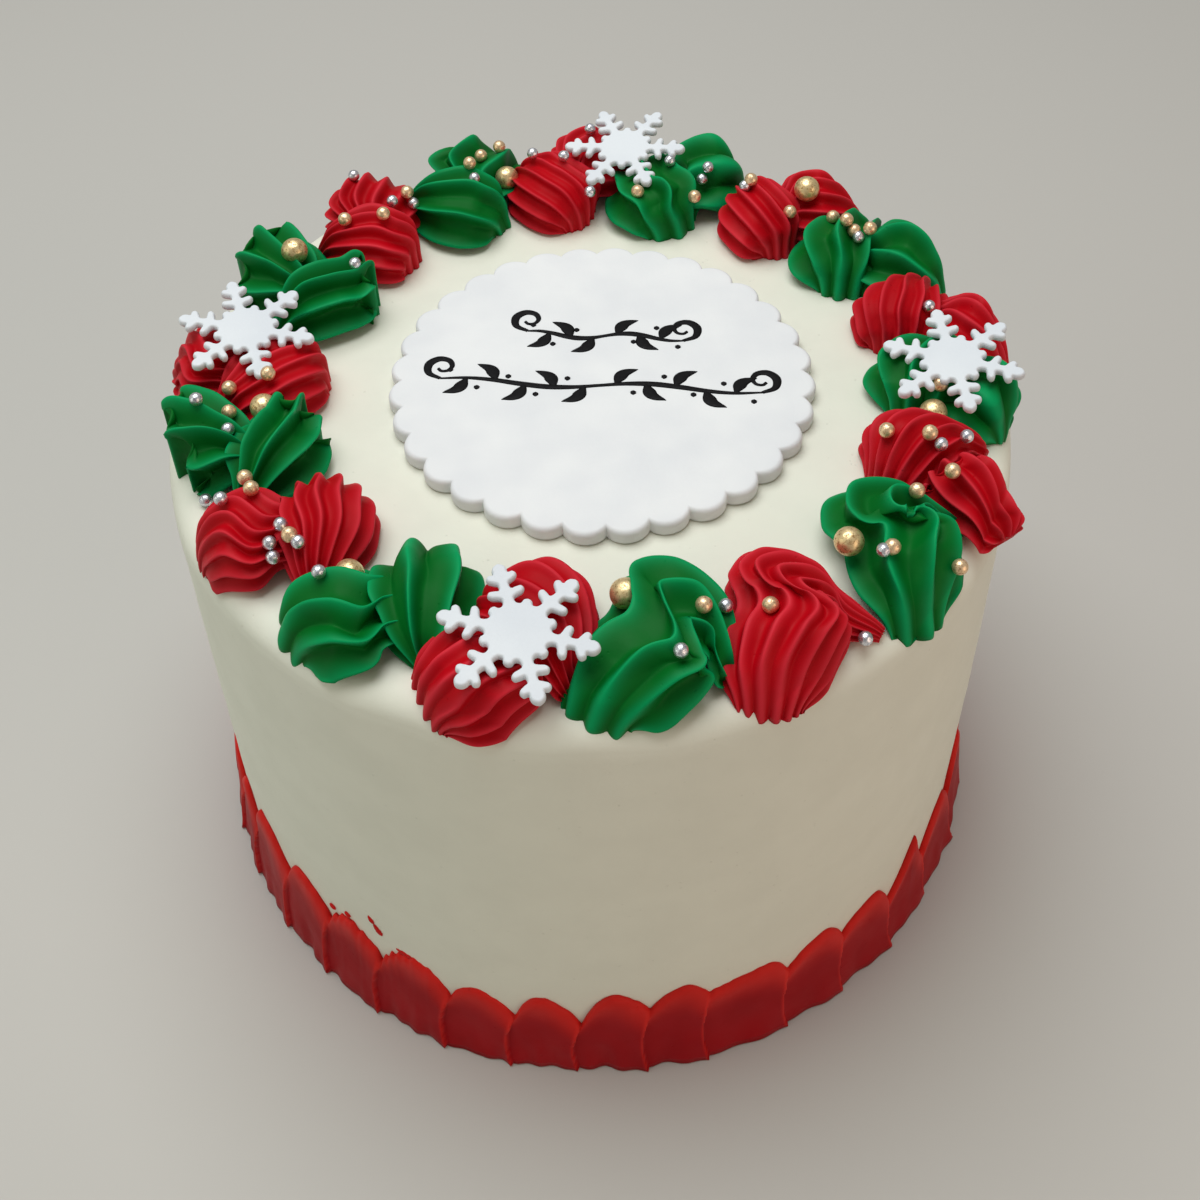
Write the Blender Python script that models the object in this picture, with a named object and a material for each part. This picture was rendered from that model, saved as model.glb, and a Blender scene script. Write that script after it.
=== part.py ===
"""A tall round christmas cake in smooth buttercream.

A ring of piped red and green swirls runs round its top, with sugar pearls and four fondant snowflakes
on them, a scalloped fondant plaque lies in the middle, and a band of red buttercream petals is pressed
round its foot. Metres, +Z up, origin at the middle of the cake's underside, front at -Y. Bearings are
in degrees, counter-clockwise from +X seen from above.
"""

import math
import random

import bmesh
import bpy
import numpy as np
from mathutils import Vector
from mathutils.bvhtree import BVHTree

# Cake: an 8 inch sponge under about 5 mm of buttercream, scraped upright with a slight taper.
CAKE_HEIGHT = 0.1405
BASE_RADIUS = 0.1076
TOP_RADIUS = 0.1046
EDGE_ROUND = 0.0065
CAKE_SIDES = 72
SEAT_GAP = 0.0003

# Foot band: petals pressed with a palette knife, each a little proud of the one before.
PETALS = 37
PETAL_FIRST_BEARING = 217.5
PETAL_TALL = 0.0330
PETAL_LOW = 0.0240
PETAL_FOOT_THICK = 0.0044
PETAL_TIP_THICK = 0.0016
PETAL_LIP = 0.0010
BAND_CLEAR_OF_FLOOR = 0.0006

# Plaque: a fondant disc with a scalloped edge, a little off centre.
PLAQUE_CENTRE = (0.0030, 0.0010)
PLAQUE_RADIUS = 0.0532
PLAQUE_THICK = 0.0040
PLAQUE_EDGE_ROUND = 0.0009
SCALLOPS = 32
SCALLOP_DEPTH = 0.0021

# Ring of swirls: one unit is an outer and an inner shell, red and green by turns.
RING_RADIUS = 0.0865
SWIRL_BEARINGS = (219, 239, 259, 279, 297, 317, 335, 353, 372, 390, 409, 431, 451, 473, 493, 514, 538, 556)
SWIRL_CREST = 0.0155
SHELL_SLANT = 4.4
OUTER_SHELL = {"start": (0.0150, -0.0100), "end": (-0.0035, 0.0015), "bow": 0.0010, "radius": 0.0142}
INNER_SHELL = {"start": (-0.0170, 0.0010), "end": (0.0150, 0.0135), "bow": -0.0035, "radius": 0.0138}
RED_STAR = {"ridges": 10, "depth": 0.16}
GREEN_STAR = {"ridges": 8, "depth": 0.26}
INNER_RINGS = (0.08, 0.27, 0.54, 0.84)
OUTER_RINGS = (0.10, 0.32, 0.60, 0.86)
SWIRL_CLEARANCE = 0.0002
CELL_REACH = 0.03

# Sugar pearls and snowflakes.
SMALL_PEARL_RADIUS = 0.0017
PEARL_SINK = 0.40
PEARL_ROOT = 2.6
LARGE_PEARL_RADIUS = 0.0036
LARGE_PEARL_SINK = 0.0012
POCKET_CLEARANCE = 0.0004
SNOWFLAKE_RADIUS = 0.0172
SNOWFLAKE_THICK = 0.0024
SNOWFLAKE_SEAT = 0.0138

# Large pearls as radius in mm and bearing.
LARGE_PEARLS = ((84, 231), (79, 191), (88, 151), (85, 105), (88, 46), (84, 346), (84, 311), (75, 275))

# Snowflakes as radius in mm, bearing, turn, and the lean in degrees towards a bearing.
SNOWFLAKES = ((85, 174, 53, 7, 300), (86, 82, 48, 9, 240), (88, 354, 31, 8, 210), (90, 260, 42, 6, 280))

# Small pearls of each swirl, as millimetres outwards and counter-clockwise from its middle.
SMALL_PEARLS = {
    1: ((9, -13), (7, -11), (0, -12), (1, 0), (1, 4), (1, 7), (6, 4), (8, 8)),
    4: ((-3, 9), (8, 2)),
    5: ((3, -5), (-2, -11), (19, 7)),
    6: ((0, 11), (6, -5), (18, -1)),
    7: ((-12, 1), (-2, 4), (1, 1), (6, 6), (6, -8)),
    8: ((-2, -6),),
    9: ((1, -4),),
    10: ((-1, 11), (0, 8), (-1, 5), (2, 2), (-3, 0)),
    11: ((-3, 11), (-8, -5), (-6, 8)),
    12: ((-18, 8), (-2, 3), (-2, -8), (-7, -7)),
    13: ((-1, 10), (-2, 4), (12, -4), (-19, -3)),
    14: ((2, -2), (4, -7), (7, -11), (-3, -2)),
    15: ((-1, 9), (-5, 0), (-3, -10), (14, -6), (-3, -6), (-8, -9)),
    16: ((-15, -8),),
    17: ((-9, 8),),
    18: ((0, 12), (-1, -10), (0, -6), (7, -11), (1, 0)),
}

RED = (0.42, 0.010, 0.016)
BAND_RED = (0.36, 0.012, 0.012)
GREEN = (0.004, 0.150, 0.042)
CREAM = (0.80, 0.77, 0.62)
WHITE = (0.84, 0.84, 0.85)
GOLD = (0.70, 0.44, 0.14)


def clear_scene():
    """Removes what the scene holds."""
    for obj in list(bpy.data.objects):
        bpy.data.objects.remove(obj, do_unlink=True)


def sugar_material(name, colour, roughness, metallic=0.0):
    """A Principled material of one sub-part."""
    material = bpy.data.materials.new(name)
    material.use_nodes = True
    shader = material.node_tree.nodes["Principled BSDF"]
    shader.inputs["Base Color"].default_value = (*colour, 1.0)
    shader.inputs["Roughness"].default_value = roughness
    shader.inputs["Metallic"].default_value = metallic
    material.diffuse_color = (*colour, 1.0)
    return material


def mesh_object(name, verts, faces, material=None, smooth_angle=50):
    """An object of the given points and faces, shaded smooth up to an angle."""
    mesh = bpy.data.meshes.new(name)
    mesh.from_pydata([tuple(map(float, v)) for v in verts], [], faces)
    mesh.validate()
    mesh.shade_smooth()
    mesh.set_sharp_from_angle(angle=math.radians(smooth_angle))
    obj = bpy.data.objects.new(name, mesh)
    bpy.context.scene.collection.objects.link(obj)
    if material:
        mesh.materials.append(material)
    return obj


def polar(radius, bearing, z=0.0):
    """The point at a radius and a bearing in degrees."""
    angle = math.radians(bearing)
    return Vector((radius * math.cos(angle), radius * math.sin(angle), z))


def ring_faces(rings, around, first=0):
    """Quads between rings of points that each have the same count."""
    faces = []
    for ring in range(rings - 1):
        for i in range(around):
            j = (i + 1) % around
            a, b = first + ring * around, first + (ring + 1) * around
            faces.append((a + i, a + j, b + j, b + i))
    return faces


def lathe(name, profile, sides, material=None):
    """Turns a profile of (radius, height), listed from the foot up, and closes both ends with a fan."""
    verts = [(0.0, 0.0, profile[0][1])]
    for radius, z in profile:
        verts += [polar(radius, 360.0 * i / sides, z) for i in range(sides)]
    verts.append((0.0, 0.0, profile[-1][1]))
    faces = [(0, 1 + (i + 1) % sides, 1 + i) for i in range(sides)]
    faces += ring_faces(len(profile), sides, 1)
    last = 1 + (len(profile) - 1) * sides
    faces += [(last + i, last + (i + 1) % sides, len(verts) - 1) for i in range(sides)]
    return mesh_object(name, verts, faces, material)


def side_radius(z):
    """The cake's radius at a height, below its rounded edge."""
    return BASE_RADIUS + (TOP_RADIUS - BASE_RADIUS) * z / CAKE_HEIGHT


def cake_profile(swell=0.0):
    """The cake's profile, or one that stands proud of it all over by the swell."""
    arc = []
    for degrees in (0, 30, 60, 90):
        angle = math.radians(degrees)
        radius = TOP_RADIUS - EDGE_ROUND + (EDGE_ROUND + swell) * math.cos(angle)
        arc.append((radius, CAKE_HEIGHT - EDGE_ROUND + (EDGE_ROUND + swell) * math.sin(angle)))
    return [(BASE_RADIUS + swell, 0.0)] + arc


def make_cake_body(material):
    """The iced cake: one solid, nearly upright, with a softly rounded top edge."""
    return lathe("cake_body", cake_profile(), CAKE_SIDES, material)


def petal_height(part, tall):
    """Top edge of a petal at a part of its width: low at both ends, rounded between them."""
    return PETAL_LOW + (tall - PETAL_LOW) * math.sin(math.pi * part) ** 0.7


def make_base_border(material):
    """The foot band: petals side by side, each starting flush and ending in a raised lip over the next."""
    shuffle = random.Random(12)
    columns = []
    for petal in range(PETALS):
        tall = PETAL_TALL * shuffle.uniform(0.90, 1.12)
        width = 360.0 / PETALS
        start = PETAL_FIRST_BEARING + petal * width
        for part, lip in ((0.03, 0.0), (0.48, 0.35), (0.97, 1.0)):
            bearing = start + part * width
            foot = PETAL_FOOT_THICK * shuffle.uniform(0.94, 1.04)
            columns.append((bearing, petal_height(part, tall), foot, lip * PETAL_LIP))
    inner_foot, inner_top, outer = [], [], [[], [], []]
    for bearing, top, foot, lip in columns:
        inner_foot.append(polar(side_radius(0) + SEAT_GAP, bearing, BAND_CLEAR_OF_FLOOR))
        inner_top.append(polar(side_radius(top) + SEAT_GAP, bearing, top))
        for level, (part, thick) in enumerate(((0.0, foot), (0.55, 0.8 * foot), (0.93, PETAL_TIP_THICK))):
            z = BAND_CLEAR_OF_FLOOR + part * (top - BAND_CLEAR_OF_FLOOR)
            raised = lip * (1.0 - 0.4 * level)
            outer[level].append(polar(side_radius(z) + SEAT_GAP + thick + raised, bearing, z))
    around = len(columns)
    rings = [inner_foot, *outer, inner_top]
    verts = [point for ring in rings for point in ring]
    faces = ring_faces(len(rings), around)
    last = (len(rings) - 1) * around
    faces += [(last + i, last + (i + 1) % around, (i + 1) % around, i) for i in range(around)]
    return mesh_object("base_border", verts, faces, material, 35)


def scallop_radius(bearing):
    """The plaque's outline: round lobes that meet in sharp notches."""
    part = (bearing * SCALLOPS / 360.0) % 1.0
    lobe = math.sqrt(max(0.0, 1.0 - (2.0 * part - 1.0) ** 2))
    return PLAQUE_RADIUS - SCALLOP_DEPTH * (1.0 - lobe)


def make_plaque(material):
    """The scalloped disc, with a softened upper edge, lying on the cake's top."""
    bearings = [360.0 * (i + part) / SCALLOPS for i in range(SCALLOPS) for part in (0.0, 0.28, 0.72)]
    low = CAKE_HEIGHT + SEAT_GAP
    high = low + PLAQUE_THICK
    levels = ((0.0, low), (0.0, high - PLAQUE_EDGE_ROUND), (PLAQUE_EDGE_ROUND, high))
    verts = []
    for inset, z in levels:
        for bearing in bearings:
            x, y, _ = polar(scallop_radius(bearing) - inset, bearing)
            verts.append((x + PLAQUE_CENTRE[0], y + PLAQUE_CENTRE[1], z))
    around = len(bearings)
    faces = ring_faces(len(levels), around)
    faces.append(tuple(reversed(range(around))))
    faces.append(tuple(range(len(verts) - around, len(verts))))
    return mesh_object("plaque", verts, faces, material, 40)


def shell_radius(u, radius):
    """Radius along a shell: it opens fast to a fat head and narrows to a slim tail."""
    return radius * np.sin(np.pi * np.clip(u, 0, 1) ** 0.66) ** 0.72


def shell_spine(start, end, bow, radius, crest, rise=66.0, fall=-26.0):
    """Spine of a shell, as a function of u from 0 to 1, in a swirl's own frame.

    Seen from the side it climbs at the angle `rise` and turns evenly to the angle `fall`; seen from above
    it runs from start to end with a sideways bow. It is lifted so that the shell's highest point is at
    the crest.
    """
    u = np.linspace(0, 1, 65)
    slope = np.radians(rise + (fall - rise) * u)
    step = 1.0 / (len(u) - 1)
    along = np.concatenate([[0], np.cumsum((np.cos(slope[1:]) + np.cos(slope[:-1])) / 2)]) * step
    up = np.concatenate([[0], np.cumsum((np.sin(slope[1:]) + np.sin(slope[:-1])) / 2)]) * step
    start, end = np.array(start), np.array(end)
    length = np.linalg.norm(end - start)
    size = length / along[-1]
    ahead = (end - start) / length
    beside = np.array([-ahead[1], ahead[0]])
    plan = start + np.outer(along * size, ahead) + np.outer(bow * np.sin(np.pi * along / along[-1]), beside)
    lift = crest - np.max(up * size + shell_radius(u, radius) * np.cos(slope))
    return u, np.column_stack([plan, up * size + lift])


def star_columns(ridges):
    """Angles round a shell's section: a crest and a groove for each ridge above, and a plain base."""
    angles = [2 * math.pi * i / (2 * ridges) for i in range(2 * ridges)]
    upper = [a for a in angles if a <= math.radians(205) or a >= math.radians(335)]
    return np.array(sorted(upper + [math.radians(245), math.radians(295)]))


def star_factor(angles, star):
    """Section radius at each angle: 1 on a ridge's crest, less by the depth in the groove beside it."""
    return 1.0 - star["depth"] * (0.5 - 0.5 * np.cos(star["ridges"] * angles))


def shell_mesh(form, star, crest, rings, size):
    """Points and faces of one closed shell in its swirl's frame (outwards, counter-clockwise, up)."""
    start, end = (tuple(size * v for v in form[key]) for key in ("start", "end"))
    u_spine, spine = shell_spine(start, end, form["bow"], size * form["radius"], crest)
    tangent = np.gradient(spine, u_spine, axis=0)
    angles = star_columns(star["ridges"])
    factor = star_factor(angles, star)
    verts = [spine[0]]
    for u in rings:
        centre = np.array([np.interp(u, u_spine, spine[:, k]) for k in range(3)])
        ahead = np.array([np.interp(u, u_spine, tangent[:, k]) for k in range(3)])
        ahead /= np.linalg.norm(ahead)
        side = np.cross(ahead, (0, 0, 1))
        side /= np.linalg.norm(side)
        over = np.cross(side, ahead)
        reach = shell_radius(np.array(u), size * form["radius"]) * factor
        verts += list(centre + np.outer(reach * np.cos(angles), side) + np.outer(reach * np.sin(angles), over))
    verts.append(spine[-1])
    around = len(angles)
    faces = [(0, 1 + (i + 1) % around, 1 + i) for i in range(around)]
    faces += ring_faces(len(rings), around, 1)
    last = 1 + (len(rings) - 1) * around
    faces += [(last + i, last + (i + 1) % around, len(verts) - 1) for i in range(around)]
    return verts, faces


def to_cake(point, bearing):
    """From a swirl's frame to the cake's."""
    out, ccw, up = (float(v) for v in point)
    angle = math.radians(bearing)
    radius = RING_RADIUS + out
    return Vector((radius * math.cos(angle) - ccw * math.sin(angle),
                   radius * math.sin(angle) + ccw * math.cos(angle), CAKE_HEIGHT + up))


def combine(obj, operation, others, solver="MANIFOLD"):
    """One Boolean of the object with a collection of others, applied; the others are then removed."""
    group = bpy.data.collections.new("operands")
    for other in others:
        group.objects.link(other)
    modifier = obj.modifiers.new("combine", "BOOLEAN")
    modifier.operand_type = "COLLECTION"
    modifier.collection = group
    modifier.operation = operation
    modifier.solver = solver
    graph = bpy.context.evaluated_depsgraph_get()
    mesh = bpy.data.meshes.new_from_object(obj.evaluated_get(graph))
    obj.modifiers.clear()
    obj.data = mesh
    for other in list(group.objects):
        bpy.data.objects.remove(other, do_unlink=True)
    bpy.data.collections.remove(group)
    return obj


def flip_if_inside_out(verts, faces):
    """The faces, turned over if they enclose a negative volume."""
    points = np.array([tuple(v) for v in verts], float)
    volume = sum(float(np.dot(points[f[0]], np.cross(points[f[i]], points[f[i + 1]])))
                 for f in faces for i in range(1, len(f) - 1))
    return faces if volume > 0 else [tuple(reversed(f)) for f in faces]


def cell_edge(index):
    """Two plan points on the upright plane between one swirl and the next, slanted as the swirls are."""
    here = SWIRL_BEARINGS[index % len(SWIRL_BEARINGS)]
    following = SWIRL_BEARINGS[(index + 1) % len(SWIRL_BEARINGS)]
    middle = here + ((following - here) % 360) / 2
    return polar(0.048, middle + 1.75 * SHELL_SLANT), polar(0.122, middle - 1.45 * SHELL_SLANT)


def cell_sides(index):
    """A swirl's two upright planes as (point, direction into the swirl), and the plan corners between them."""
    planes = []
    corners = []
    for step, side in ((-1, 1), (0, -1)):
        inner, outer = cell_edge(index + step)
        inwards = Vector((0, 0, 1)).cross(outer - inner).normalized() * side
        inner += inwards * SWIRL_CLEARANCE
        outer += inwards * SWIRL_CLEARANCE
        planes.append((inner, inwards))
        corners += [inner, outer] if side > 0 else [outer, inner]
    return planes, corners


def cell(index):
    """The room that one swirl may fill: an upright prism between its two neighbours' planes."""
    _, corners = cell_sides(index)
    verts = [(p.x, p.y, z) for z in (CAKE_HEIGHT - CELL_REACH, CAKE_HEIGHT + CELL_REACH) for p in corners]
    faces = [(0, 3, 2, 1), (4, 5, 6, 7), (0, 1, 5, 4), (1, 2, 6, 5), (2, 3, 7, 6), (3, 0, 4, 7)]
    return mesh_object("cell", verts, flip_if_inside_out(verts, faces))


def keep_main_skin(obj):
    """Keeps a mesh's largest connected skin: a sealed hollow is filled and a loose scrap dropped."""
    work = bmesh.new()
    work.from_mesh(obj.data)
    unseen = set(work.faces)
    skins = []
    while unseen:
        skin = {unseen.pop()}
        border = list(skin)
        while border:
            beside = {other for edge in border.pop().edges for other in edge.link_faces} - skin
            skin |= beside
            border += beside
        unseen -= skin
        skins.append(skin)
    spare = [face for skin in sorted(skins, key=len)[:-1] for face in skin]
    bmesh.ops.delete(work, geom=spare, context="FACES")
    work.to_mesh(obj.data)
    work.free()


def flatten_base(obj):
    """Joins the level triangles on a swirl's underside into one face and cuts that afresh."""
    work = bmesh.new()
    work.from_mesh(obj.data)
    level = [face for face in work.faces if face.normal.z < -0.9999]
    edges = list({edge for face in level for edge in face.edges})
    bmesh.ops.dissolve_limit(work, angle_limit=math.radians(0.2), edges=edges,
                             verts=[], use_dissolve_boundaries=False)
    bmesh.ops.triangulate(work, faces=work.faces)
    work.to_mesh(obj.data)
    work.free()


def make_swirl(index, material):
    """One piped unit: its two shells joined, kept to its cell and fitted to the cake's top."""
    colour, star = ("green", GREEN_STAR) if index % 2 else ("red", RED_STAR)
    name = "swirl_%02d_%s" % (index + 1, colour)
    shuffle = random.Random(100 + index)
    size = shuffle.uniform(0.97, 1.04)
    shells = []
    for form, rings in ((INNER_SHELL, INNER_RINGS), (OUTER_SHELL, OUTER_RINGS)):
        crest = SWIRL_CREST * shuffle.uniform(0.95, 1.04)
        verts, faces = shell_mesh(form, star, crest, rings, size)
        verts = [to_cake(v, SWIRL_BEARINGS[index]) for v in verts]
        shells.append(mesh_object(name, verts, flip_if_inside_out(verts, faces), material))
    swirl, outer = shells
    combine(swirl, "UNION", [outer])
    combine(swirl, "INTERSECT", [cell(index)])
    combine(swirl, "DIFFERENCE", [lathe("seat", cake_profile(SEAT_GAP), CAKE_SIDES)])
    flatten_base(swirl)
    return swirl


def surface_tree(objects):
    """A search tree over the faces of some objects."""
    verts, faces = [], []
    for obj in objects:
        base = len(verts)
        verts += [v.co.copy() for v in obj.data.vertices]
        faces += [tuple(base + i for i in p.vertices) for p in obj.data.polygons]
    return BVHTree.FromPolygons(verts, faces)


def surface_below(objects):
    """A function that gives the place and normal of the objects' top surface at a plan point, or None."""
    tree = surface_tree(objects)

    def look(x, y):
        place, normal, _, _ = tree.ray_cast(Vector((x, y, CAKE_HEIGHT + 0.05)), Vector((0, 0, -1)))
        return (place, normal) if place else None

    return look


def ball(name, centre, radius, material=None, around=8, levels=5, root=1.0):
    """A small sphere of few faces; a root over 1 draws its lower half down by that factor."""
    verts = [centre - Vector((0, 0, root * radius))]
    for level in range(1, levels):
        tilt = math.pi * level / levels - math.pi / 2
        z = radius * math.sin(tilt) * (root if tilt < 0 else 1.0)
        verts += [centre + polar(radius * math.cos(tilt), 360.0 * (i + 0.5 * level) / around, z)
                  for i in range(around)]
    verts.append(centre + Vector((0, 0, radius)))
    faces = [(0, 1 + (i + 1) % around, 1 + i) for i in range(around)]
    faces += ring_faces(levels - 1, around, 1)
    last = 1 + (levels - 2) * around
    faces += [(last + i, last + (i + 1) % around, len(verts) - 1) for i in range(around)]
    return mesh_object(name, verts, faces, material, 60)


def rest_height(look, x, y, radius):
    """Height at which a ball's middle rests on the surface at a plan point."""
    heights = [CAKE_HEIGHT + radius]
    for share in (0.0, 0.35, 0.7):
        for bearing in range(0, 360, 45):
            dx, dy, _ = polar(share * radius, bearing)
            found = look(x + dx, y + dy)
            if found:
                heights.append(found[0].z + radius * math.sqrt(1 - share * share))
    return max(heights)


def snowflake_outline(radius):
    """Outline of a snowflake: six arms, each with a pair of side branches and a three-lobed tip."""
    half_arm = ((0.40, 0.065), (0.60, 0.210), (0.70, 0.130), (0.66, 0.060),
                (0.78, 0.060), (0.86, 0.185), (1.0, 0.055))
    outline = []
    for arm in range(6):
        outline.append(polar(0.43 * radius, 60 * arm - 30))
        for sign, points in ((-1, half_arm), (1, tuple(reversed(half_arm)))):
            for along, beside in points:
                reach = radius * math.hypot(along, beside)
                outline.append(polar(reach, 60 * arm + sign * math.degrees(math.atan2(beside, along))))
    return outline


def lean_frame(lean, towards):
    """Axes of a plate that leans down towards a bearing."""
    normal = (Vector((0, 0, 1)) * math.cos(math.radians(lean)) + polar(math.sin(math.radians(lean)), towards))
    right = Vector((1, 0, 0)) - normal * normal.x
    right.normalize()
    return right, normal.cross(right), normal


def plate(name, outline, place, lean, low, high, material=None):
    """A leaning plate of the given outline, between two distances above its place."""
    right, front, normal = lean_frame(*lean)
    verts = [place + right * p.x + front * p.y + normal * z for z in (low, high) for p in outline]
    count = len(outline)
    faces = [tuple(reversed(range(count))), tuple(range(count, 2 * count))]
    faces += [(i, (i + 1) % count, count + (i + 1) % count, count + i) for i in range(count)]
    return mesh_object(name, verts, faces, material, 30)


def snowflake_places():
    """Place, turn and lean of each snowflake."""
    places = []
    for radius_mm, bearing, turn, lean, towards in SNOWFLAKES:
        places.append((polar(radius_mm / 1000, bearing, CAKE_HEIGHT + SNOWFLAKE_SEAT), turn, (lean, towards)))
    return places


def turned(outline, degrees):
    """An outline turned in its own plane."""
    return [polar(p.length, math.degrees(math.atan2(p.y, p.x)) + degrees) for p in outline]


def make_snowflakes(material):
    """The four snowflakes, each pressed a little into the swirls below it."""
    made = []
    for number, (place, turn, lean) in enumerate(snowflake_places(), 1):
        outline = turned(snowflake_outline(SNOWFLAKE_RADIUS), turn)
        made.append(plate("snowflake_%d" % number, outline, place, lean, 0.0, SNOWFLAKE_THICK, material))
    return made


def snowflake_presses():
    """What the snowflakes press away: a low round block over each one's underside."""
    rim = [polar(SNOWFLAKE_RADIUS + POCKET_CLEARANCE, 15 * i) for i in range(24)]
    return [plate("press", rim, place, lean, -SEAT_GAP, 0.012) for place, _, lean in snowflake_places()]


def near(obj, centre, reach):
    """Whether an object's surface comes within a reach of a point."""
    return surface_tree([obj]).find_nearest(centre, reach)[0] is not None


def make_large_pearls(swirls, material):
    """The eight large pearls, each resting in a dent where swirls meet; also gives their middles."""
    look = surface_below(swirls)
    shuffle = random.Random(7)
    pearls = []
    for number, (radius_mm, bearing) in enumerate(LARGE_PEARLS, 1):
        radius = LARGE_PEARL_RADIUS * shuffle.uniform(0.95, 1.05)
        spot = polar(radius_mm / 1000, bearing)
        spot.z = max(rest_height(look, spot.x, spot.y, radius) - LARGE_PEARL_SINK,
                     CAKE_HEIGHT + radius + SEAT_GAP)
        pearls.append((ball("gold_pearl_%d" % number, spot, radius, material), spot, radius))
    return pearls


def press_toppings(swirls, pearls):
    """Cuts the pockets of the large pearls and the seats of the snowflakes out of the swirls."""
    for swirl in swirls:
        cutters = []
        for _, spot, radius in pearls:
            if near(swirl, spot, radius + POCKET_CLEARANCE):
                cutters.append(ball("pocket", spot, radius + POCKET_CLEARANCE))
        for press in snowflake_presses():
            centre = sum((v.co for v in press.data.vertices), Vector()) / len(press.data.vertices)
            if near(swirl, centre, SNOWFLAKE_RADIUS):
                cutters.append(press)
            else:
                bpy.data.objects.remove(press, do_unlink=True)
        if cutters:
            combine(swirl, "DIFFERENCE", cutters)


def inside_cell(index, spot, margin):
    """A plan point moved straight away from the planes beside a swirl until it clears them by the margin."""
    planes, _ = cell_sides(index)
    for point, inwards in planes:
        distance = (spot - point).dot(inwards)
        if distance < margin:
            spot = spot + inwards * (margin - distance)
    return spot


def clear_of_toppings(spot, pearls):
    """Whether a small pearl at the spot keeps off the large pearls and the snowflakes."""
    for _, centre, radius in pearls:
        if (spot.xy - centre.xy).length < radius + SMALL_PEARL_RADIUS + POCKET_CLEARANCE:
            return False
    for place, _, lean in snowflake_places():
        _, _, normal = lean_frame(*lean)
        offset = spot - place
        height = offset.dot(normal)
        level = (offset - normal * height).length
        if level < SNOWFLAKE_RADIUS + SMALL_PEARL_RADIUS and height > -SMALL_PEARL_RADIUS - POCKET_CLEARANCE:
            return False
    return True


def rooted_bead(centre):
    """A small pearl whose hidden half reaches down into the swirl, but not into the cake."""
    room = (centre.z - CAKE_HEIGHT - SEAT_GAP) / SMALL_PEARL_RADIUS
    return ball("bead", centre, SMALL_PEARL_RADIUS, None, 5, 4, min(PEARL_ROOT, room))


def add_small_pearls(index, swirl, pearls):
    """Fuses the small pearls onto the swirl that they lie on, clear of everything else."""
    look = surface_below([swirl])
    beads = []
    for out_mm, ccw_mm in SMALL_PEARLS.get(index + 1, ()):
        spot = to_cake((out_mm / 1000, ccw_mm / 1000, 0), SWIRL_BEARINGS[index])
        spot = inside_cell(index, spot, SMALL_PEARL_RADIUS + SWIRL_CLEARANCE)
        middle = to_cake((0, 0, 0), SWIRL_BEARINGS[index])
        for _ in range(12):
            found = look(spot.x, spot.y)
            if found and found[1].z > 0.35:
                break
            spot = spot.lerp(middle, 0.08)
        if not found:
            continue
        place, normal = found
        centre = place + normal * SMALL_PEARL_RADIUS * PEARL_SINK
        apart = all((centre - other).length > 2.1 * SMALL_PEARL_RADIUS for other in beads)
        if apart and clear_of_toppings(centre, pearls):
            beads.append(centre)
    if beads:
        combine(swirl, "UNION", [rooted_bead(centre) for centre in beads])


def main():
    clear_scene()
    make_cake_body(sugar_material("cream_buttercream", CREAM, 0.5))
    make_base_border(sugar_material("band_buttercream", BAND_RED, 0.45))
    fondant = sugar_material("white_fondant", WHITE, 0.6)
    make_plaque(fondant)
    red = sugar_material("red_buttercream", RED, 0.45)
    green = sugar_material("green_buttercream", GREEN, 0.45)
    swirls = [make_swirl(i, green if i % 2 else red) for i in range(len(SWIRL_BEARINGS))]
    pearls = make_large_pearls(swirls, sugar_material("gold_pearl", GOLD, 0.3, 0.8))
    press_toppings(swirls, pearls)
    make_snowflakes(fondant)
    for index, swirl in enumerate(swirls):
        add_small_pearls(index, swirl, pearls)
        keep_main_skin(swirl)


main()
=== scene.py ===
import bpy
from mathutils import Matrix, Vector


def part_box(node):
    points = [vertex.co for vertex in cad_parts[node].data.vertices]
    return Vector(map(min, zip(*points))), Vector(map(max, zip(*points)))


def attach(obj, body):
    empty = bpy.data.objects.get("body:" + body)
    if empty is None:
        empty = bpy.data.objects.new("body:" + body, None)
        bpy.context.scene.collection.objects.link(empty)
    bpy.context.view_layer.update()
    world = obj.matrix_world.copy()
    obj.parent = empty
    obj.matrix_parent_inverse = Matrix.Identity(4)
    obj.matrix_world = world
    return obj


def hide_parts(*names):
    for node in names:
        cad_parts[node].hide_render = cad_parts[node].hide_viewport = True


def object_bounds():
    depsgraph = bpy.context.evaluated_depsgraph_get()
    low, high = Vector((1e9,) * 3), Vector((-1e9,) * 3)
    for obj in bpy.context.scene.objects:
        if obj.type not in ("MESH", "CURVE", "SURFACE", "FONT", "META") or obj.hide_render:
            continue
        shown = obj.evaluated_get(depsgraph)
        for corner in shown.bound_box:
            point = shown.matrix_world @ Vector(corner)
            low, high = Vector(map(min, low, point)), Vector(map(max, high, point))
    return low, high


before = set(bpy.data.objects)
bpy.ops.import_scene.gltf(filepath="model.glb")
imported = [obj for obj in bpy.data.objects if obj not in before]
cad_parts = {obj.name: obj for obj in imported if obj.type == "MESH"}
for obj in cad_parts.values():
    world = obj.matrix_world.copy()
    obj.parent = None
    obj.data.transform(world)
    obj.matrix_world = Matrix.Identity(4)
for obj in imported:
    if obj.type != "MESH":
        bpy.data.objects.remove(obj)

"""Looks of a tall iced christmas cake: smooth ivory buttercream, piped red and green swirls, sugar pearls,
fondant snowflakes, a scalloped fondant plaque and a red petal band round the foot.

Shapes are worked out in millimetres, with bearings in degrees counter-clockwise from +X, and are put into
the meshes in metres. Large pearls and snowflakes take their places from the frame.
"""

import cmath
import math
from collections import namedtuple

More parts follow.
